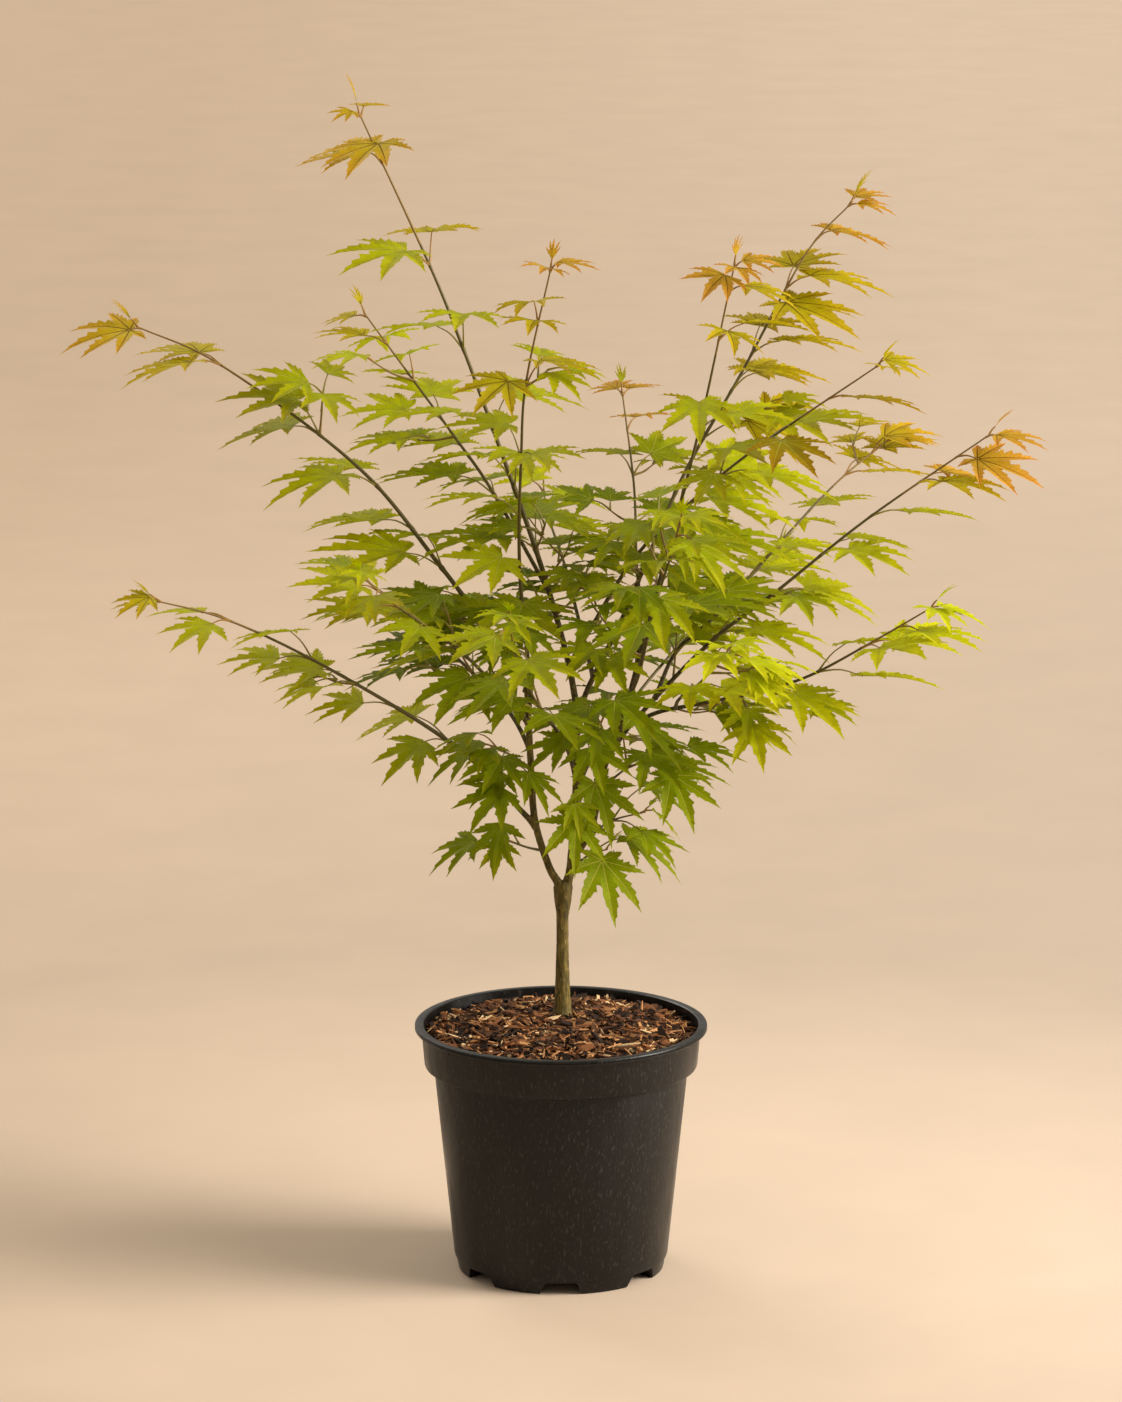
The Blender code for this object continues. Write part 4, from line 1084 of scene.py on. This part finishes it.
def barkMaterial(name):
    look = {**woodLooks["bark"], **woodLooks[name]}
    paint = Paint(name, look["roughness"], look["specular"])
    grain = paint.noise(1.0, look["stretch"], *look["grain"])
    tints = [linear(*tint) for tint in look["tints"]]
    body = paint.ramp(grain, list(zip(look["stops"], tints)))
    spots = paint.ramp(paint.noise(*look["spots"]), look["spotStops"])
    share = paint.math("MULTIPLY", spots, look["speckle"])
    paint.set("Base Color", paint.mix(share, body, linear(*look["spot"])))
    paint.bump(grain, *look["bump"])
    return paint.made


def twigMaterials(kind):
    return [grainMaterial(name, linear(*tint), woodLooks["twig"]) for name, tint in woodLooks[kind]]


def sweep(stations, sides):
    # one closed tube through (point, direction, radius) stations
    shape = bmesh.new()
    point, direction, radius = stations[0]
    turn = direction.to_track_quat("Z", "Y").to_matrix().to_4x4()
    ring = bmesh.ops.create_circle(shape, cap_ends=True, radius=radius, segments=sides,
                                   matrix=Matrix.Translation(point) @ turn)["verts"]
    edges = list({edge for vert in ring for edge in vert.link_edges})
    for nextPoint, nextDirection, nextRadius in stations[1:]:
        grown = bmesh.ops.extrude_edge_only(shape, edges=edges)["geom"]
        ring = [item for item in grown if isinstance(item, bmesh.types.BMVert)]
        fresh = set(ring)
        edges = [item for item in grown if isinstance(item, bmesh.types.BMEdge)
                 and item.verts[0] in fresh and item.verts[1] in fresh]
        turn = direction.rotation_difference(nextDirection).to_matrix().to_4x4()
        move = (Matrix.Translation(nextPoint) @ turn @ Matrix.Scale(nextRadius / radius, 4)
                @ Matrix.Translation(-point))
        bmesh.ops.transform(shape, matrix=move, verts=ring)
        point, direction, radius = nextPoint, nextDirection, nextRadius
    bmesh.ops.contextual_create(shape, geom=edges)
    bmesh.ops.recalc_face_normals(shape, faces=shape.faces)
    return shape


def stationsAlong(limb, start, end, flare=0.0, joints=(), step=woodShape["step"]):
    count = max(2, round((end - start) / step))
    stations = []
    for i in range(count + 1):
        distance = start + (end - start) * i / count
        swell = flare * math.exp(-max(distance, 0) / woodShape["flareLength"])
        for joint in joints:
            swell += woodShape["joint"] * math.exp(-((distance - joint) / woodShape["jointLength"])**2)
        stations.append((*limb.at(distance), limb.radius(distance) * (1 + swell)))
    return stations


def addRelief(shape, amount, stretch=woodShape["reliefStretch"]):
    shape.normal_update()
    moves = []
    for vert in shape.verts:
        spot = Vector(value * scale for value, scale in zip(vert.co, stretch))
        moves.append(vert.normal * amount * (noise.noise(spot) + 0.5 * noise.noise(spot * 2.7)))
    for vert, move in zip(shape.verts, moves):
        vert.co += move
    return shape


def trunkStations():
    w, base, upward = woodShape, trunkShape["soil"], Vector((0, 0, 1))
    rings, height = [], base - w["below"]
    while height < trunkShape["top"] - w["overlap"]:
        rings.append((height, readTable(trunkShape["sections"], max(height - base, 0))))
        height = base - w["below"] + w["step"] * len(rings)
    return [(onTrunk(height), upward, radius) for height, radius in (*rings, *w["trunkCap"])]


def sunkFoot(limb):
    # the stem carried down into the trunk, so that the fork swells
    point, direction = limb.at(0)
    axis = onTrunk(point.z - 2 * woodShape["sunk"])
    low = point - direction * woodShape["sunk"]
    low.x, low.y = (low.x + axis.x) / 2, (low.y + axis.y) / 2
    wide = limb.radius(0) * woodShape["sunkWidth"]
    return [(axis, (low - axis).normalized(), wide), (low, (point - low).normalized(), wide)]


def buildTrunk():
    flare, sides = woodShape["flare"], woodShape["sides"]
    wide, taper = woodShape["collarWidths"]
    heap = Heap()
    heap.add(*takeApart(sweep(trunkStations(), sides["trunk"])))
    for name, plan in stemPlans.items():
        stations = stationsAlong(limbs[name], 0, limbs[name].length, flare["stem"])
        if "foot" in plan:
            stations = sunkFoot(limbs[name]) + stations
        heap.add(*takeApart(sweep(stations, sides["stem"])))
    for name in boughNames:
        if shootPlans[name]["from"][0] in stemPlans:
            stations = stationsAlong(limbs[name], 0, woodShape["collar"], flare["collar"])
            last = len(stations) - 1
            collar = [(point, direction, radius * (wide - taper * i / last))
                      for i, (point, direction, radius) in enumerate(stations)]
            heap.add(*takeApart(sweep(collar, sides["collar"])))
    trunk = heap.piece("trunkAndStems")
    whole = modified(trunk, "REMESH", mode="VOXEL", voxel_size=woodShape["voxel"])
    joined = bmesh.new()
    joined.from_mesh(whole)
    bpy.data.meshes.remove(whole)
    for _ in range(woodShape["smoothings"]):
        bmesh.ops.smooth_vert(joined, verts=joined.verts, factor=0.5, use_axis_x=True,
                              use_axis_y=True, use_axis_z=True)
    addRelief(joined, *woodShape["trunkRelief"]).to_mesh(trunk.data)
    joined.free()
    finishPiece(trunk, [barkMaterial("barkOld")], ["trunk", *stemPlans], woodShape["sharp"])


def buildBoughs():
    heap = Heap()
    for name in boughNames:
        limb = limbs[name]
        split = shootPlans[name]["leavesAt"][0] * limb.length - limbRule["bareEnd"]
        stations = stationsAlong(limb, 0, split, woodShape["flare"]["bough"])
        shape = sweep(stations, woodShape["sides"]["bough"])
        heap.add(*takeApart(addRelief(shape, woodShape["relief"])))
    finishPiece(heap.piece("boughs"), [barkMaterial("barkYoung")],
                ["bough_" + name for name in boughNames], woodShape["sharp"])


def bentLimb(start, end, radii, rise):
    # a thin limb that arches up by a share of its length, or down
    middle = start.lerp(end, 0.5) + Vector((0, 0, rise * (end - start).length))
    return Limb((start, middle, end), radii)


def buildTwigs():
    w = woodShape
    sides, flare = w["sides"]["twig"], w["flare"]
    radii, rise, step = w["spur"]
    heap = Heap()
    for name, plan in shootPlans.items():
        limb, bare = limbs[name], name in boughNames
        joints = [share * limb.length for share in plan["leavesAt"]]
        start = joints[0] - limbRule["bareEnd"] - w["overlap"] if bare else 0
        change = start + w["tipFrom"] * (limb.length - start)
        shape = sweep(stationsAlong(limb, start, change, 0 if bare else flare["sprig"], joints), sides)
        heap.add(*takeApart(addRelief(shape, w["relief"] * w["twigRelief"])))
        stations = stationsAlong(limb, change - w["overlap"], limb.length, 0, joints)
        heap.add(*takeApart(sweep(stations, sides)), 1)
        for root, tip in spurs[name]:
            spur = bentLimb(root, tip, radii, rise)
            joint = spur.length * fillRule["leaves"][0][0]
            stations = stationsAlong(spur, 0, spur.length, flare["spur"], (joint,), step)
            heap.add(*takeApart(sweep(stations, w["sides"]["spur"])), 1)
    finishPiece(heap.piece("twigs"), twigMaterials("twigTints"), [], w["sharp"])


def buildStalks():
    radii, rise, steps = woodShape["stalk"]
    heap = Heap()
    for leaves in crown.values():
        for leaf, age in leaves:
            stalk = bentLimb(leaf.root, leaf.hub, radii, rise)
            step = (leaf.hub - leaf.root).length / steps
            stations = stationsAlong(stalk, 0, stalk.length, woodShape["flare"]["stalk"], (), step)
            shape = sweep(stations, woodShape["sides"]["stalk"])
            heap.add(*takeApart(shape), 0 if age < woodShape["amberFrom"] else 1)
    finishPiece(heap.piece("leafStalks"), twigMaterials("stalkTints"), [],
                woodShape["sharp"])


# Visible leaves: toothed lobes, each folded along its midrib, with a raised rib

bladeRule = {
    "teeth": (5, 4), "swell": 4.1, "taper": 1.45, "valley": (0.70, 0.90), "tooth": 0.022,
    "toothSizes": (0.4, 1.8), "toothAt": (-0.05, 0.06), "outer": 0.85, "crease": (0.14, 0.30),
    "pleat": 0.012, "tipSag": (0.02, 0.20), "sagFrom": 0.3, "sway": 0.10, "ribWidth": 0.0090,
    "ribLift": 0.0035, "ribRoot": 0.03, "ribFoot": 0.55, "ribTip": 0.94, "ribTaper": 1.05,
    "light": (0.45, -0.80, 0.40), "turned": (-0.06, 0.28), "sharp": 24,
}
leafLook = {
    "roughness": 0.55, "specular": 0.10, "glow": 0.40, "glowGain": (1.30, 1.35, 0.75),
    "veins": 88.0, "slant": 0.85, "veinStops": ((0.72, 0), (0.98, 1)), "veinShare": 0.30,
    "veinShade": (0.62, 0.62, 0.62), "hubToTip": (0.25, 0.95), "bump": (0.35, 0.0004),
    "patches": (75, (1, 1, 1), 3.0), "mottle": ((0.30, 0.84), (0.72, 1.10)), "waver": 0.55,
}

# Tints as screen colours, at the hub and at the tips of the lobes. The warm ones get dark ribs.
leafTints = {
    "leafDeep": ((96, 110, 2), (104, 110, 2)), "leafLow": ((124, 140, 2), (136, 142, 2)),
    "leafMid": ((144, 156, 4), (160, 158, 4)), "leafOlive": ((148, 152, 4), (162, 150, 8)),
    "leafBronze": ((148, 132, 6), (160, 120, 10)), "leafLime": ((168, 174, 6), (180, 174, 8)),
    "leafBright": ((182, 190, 16), (192, 190, 20)), "leafMustard": ((180, 168, 14), (188, 158, 26)),
    "leafGold": ((190, 166, 26), (198, 150, 36)), "leafAmber": ((192, 156, 44), (194, 134, 52)),
    "ribPale": ((184, 182, 66), (186, 176, 60)), "ribDark": ((122, 96, 24), (132, 84, 30)),
}
warmTints = ("leafMustard", "leafGold", "leafAmber")
crownZones = {
    "leavesLeft": ("left_low", "left_mid", "left_front", "back_left", "sprig_left"),
    "leavesCentre": ("leader", "leader_back", "centre_front", "front_left", "back_high",
                     "sprig_front", "sprig_centre", "sprig_low", "sprig_high"),
    "leavesRight": ("right_high", "right_front", "back_centre", "right_fore", "front_right"),
    "leavesRightLow": ("right_mid", "right_back", "right_low", "right_fringe", "back_right",
                       "sprig_right", "sprig_fore_right"),
}


def leafMaterial(name, tint, tipTint):
    # a waxy blade with slanting side veins, which lets some warm light through; its points carry
    # how far along their lobe and off its midrib they lie, and their share of the way to the tip
    look = leafLook
    paint = Paint(name, look["roughness"], look["specular"])
    mark = paint.node("Attribute", attribute_name="blade").outputs["Vector"]
    parts = paint.node("SeparateXYZ", {0: mark}).outputs
    along = paint.math("MULTIPLY_ADD", parts["Y"], -look["slant"], parts["X"])
    waves = paint.math("SINE", paint.math("MULTIPLY", along, look["veins"]))
    veins = paint.ramp(waves, look["veinStops"])
    body = paint.ramp(parts["Z"], list(zip(look["hubToTip"], (tint, tipTint))))
    body = paint.times(body, paint.ramp(paint.noise(*look["patches"]), look["mottle"]))
    share = paint.math("MULTIPLY", veins, look["veinShare"])
    body = paint.mix(share, body, paint.times(body, look["veinShade"]))
    paint.set("Base Color", body)
    paint.bump(veins, *look["bump"])
    through = paint.node("BsdfTranslucent", {"Color": paint.times(body, look["glowGain"])})
    mixed = paint.node("MixShader", {"Fac": look["glow"], 1: paint.shader.outputs["BSDF"],
                                     2: through.outputs["BSDF"]}).outputs["Shader"]
    paint.feed(paint.tree.nodes["Material Output"].inputs["Surface"], mixed)
    return paint.made


def lobeTable(leaf):
    # the angle and the reach of every lobe and every notch, from one side to the other
    pairs = 3 if leaf.lobe > leafRule["small"] else 2
    halves = [[(math.radians(angle * leaf.spread), reach) for angle, reach in half]
              for half in (leafRule["lobes"][1 : pairs + 1], leafRule["notches"][:pairs])]
    mirrored = [[(-angle, reach) for angle, reach in reversed(half)] for half in halves]
    return mirrored[0] + [(0.0, 1.0)] + halves[0], mirrored[1] + halves[1]


def turnToLight(leaf, chance):
    # the blade turns its face a little towards the window, about the end of its stalk
    share = chance.uniform(*bladeRule["turned"])
    turn = leaf.normal.rotation_difference(leaf.normal + Vector(bladeRule["light"]) * share)
    leaf.axis, leaf.side, leaf.normal = turn @ leaf.axis, turn @ leaf.side, turn @ leaf.normal


def growBlade(leaf, chance, heap, tint, rib):
    turnToLight(leaf, chance)
    rule = bladeRule
    lobes, notches = lobeTable(leaf)
    teeth = rule["teeth"][leaf.lobe <= leafRule["small"]]
    crease = chance.uniform(*rule["crease"])
    points, flat, marks, faces, ribFaces = [], [], [], [], []

    def put(along, across, lift=0.0, mark=(0.0, 0.0, 0.0)):
        flat.append((along, across))
        marks.append(mark)
        points.append(leaf.place(along, across, lift))
        return len(points) - 1

    def addFace(corners, into=faces):
        # wound so that it faces up
        area = sum(flat[a][0] * flat[b][1] - flat[b][0] * flat[a][1]
                   for a, b in zip(corners, corners[1:] + corners[:1]))
        into.append(corners[::-1] if area > 0 else corners)

    hub = put(0, 0)
    starts = []
    for (angle, reach), (near, _), (far, _) in zip(notches, lobes, lobes[1:]):
        half = min(abs(angle - near), abs(far - angle))
        starts.append(put(reach * math.cos(angle), reach * math.sin(angle),
                          crease * reach * math.sin(half),
                          (reach * math.cos(half), reach * math.sin(half), 0.3)))
    for index, (angle, length) in enumerate(lobes):
        sag = chance.uniform(*rule["tipSag"])
        sway = chance.uniform(-1, 1) * rule["sway"] * length
        cos, sin = math.cos(angle), math.sin(angle)

        def local(u, v, lift=0.0):
            # along the lobe and off its midrib
            share = u / length
            mark = (u, abs(v), share)
            v += sway * share**2
            drop = sag * length * max(share - rule["sagFrom"], 0)**2
            return put(u * cos - v * sin, u * sin + v * cos, lift - drop, mark)

        halves = []
        for side, spot in ((-1, index - 1), (1, index)):
            if 0 <= spot < len(notches):
                turn, reach = notches[spot]
                halves.append((side, starts[spot], reach * math.cos(turn - angle),
                               abs(reach * math.sin(turn - angle))))
            else:
                halves.append((side, None, 0, 0))
        inner = next(half for half in halves if half[1] is not None)
        meanStart = sum(half[2] or inner[2] for half in halves) / 2
        ribStops = [rule["ribFoot"] * meanStart]
        ribStops += [meanStart + (length - meanStart) * (k - 0.5) / teeth for k in range(1, teeth)]
        ribs = [local(stop, 0) for stop in ribStops]
        tip = local(length, 0)
        for side, start, u0, v0 in halves:
            if start is None:
                u0, v0 = rule["outer"] * inner[2], rule["outer"] * inner[3]
                start = local(u0, side * v0, crease * v0)
                turn, reach = math.radians(leafRule["foot"][0]) * side, leafRule["foot"][1]
                addFace([hub, start, put(reach * math.cos(turn), reach * math.sin(turn))])
            addFace([hub, ribs[0], start])
            last = start
            for k in range(1, teeth):
                corners = []
                tooth = rule["tooth"] * chance.uniform(*rule["toothSizes"])
                valley = chance.uniform(*rule["valley"])
                for past, gain, extra, lift in zip(rule["toothAt"], (1.0, valley), (tooth, 0.0),
                                                   (rule["pleat"], 0.0)):
                    t = (k + past) / teeth
                    width = v0 * (1 + rule["swell"] * length**1.5 * t) * (1 - t)**rule["taper"]
                    width = width * gain + extra * (1 - t)
                    corners.append(local(u0 + (length - u0) * t, side * width, crease * width + lift))
                addFace([ribs[k - 1], last, corners[0], ribs[k]])
                addFace([ribs[k], corners[0], corners[1]])
                last = corners[1]
            addFace([ribs[-1], last, tip])
        strip = []
        for stop in (rule["ribRoot"] * length, *ribStops):
            width = rule["ribWidth"] * (rule["ribTaper"] - stop / length)
            strip.append([local(stop, side * width, crease * width + rule["ribLift"])
                          for side in (-1, 1)])
        for (a, b), (c, d) in zip(strip, strip[1:]):
            addFace([a, b, d, c], ribFaces)
        end = local(rule["ribTip"] * length, 0, rule["ribLift"])
        addFace([*strip[-1], end], ribFaces)
    heap.add(points, faces + ribFaces, [tint] * len(faces) + [rib] * len(ribFaces), marks)


def tintFor(name, age, chance):
    tints = shootLooks[name][0].split()
    place = age * (len(tints) - 1) + chance.uniform(-leafLook["waver"], leafLook["waver"])
    return "leaf" + tints[min(max(round(place), 0), len(tints) - 1)]


def buildLeaves():
    order = list(leafTints)
    materials = [leafMaterial(name, *[linear(*tint) for tint in leafTints[name]]) for name in order]
    for pieceName, names in crownZones.items():
        heap = Heap()
        for name in names:
            chance = random.Random(pieceName + name)
            for leaf, age in crown[name]:
                tint = tintFor(name, age, chance)
                rib = "ribDark" if tint in warmTints else "ribPale"
                growBlade(leaf, chance, heap, order.index(tint), order.index(rib))
        finishPiece(heap.piece(pieceName), materials,
                    ["foliage_" + name for name in names], bladeRule["sharp"])
        print(pieceName, len(heap.faces), "faces")


buildPot()
print("pot done")
buildSoil()
buildChips()
print("soil and chips done")
buildTrunk()
buildBoughs()
buildTwigs()
buildStalks()
print("wood done")
buildLeaves()
print("leaves done")
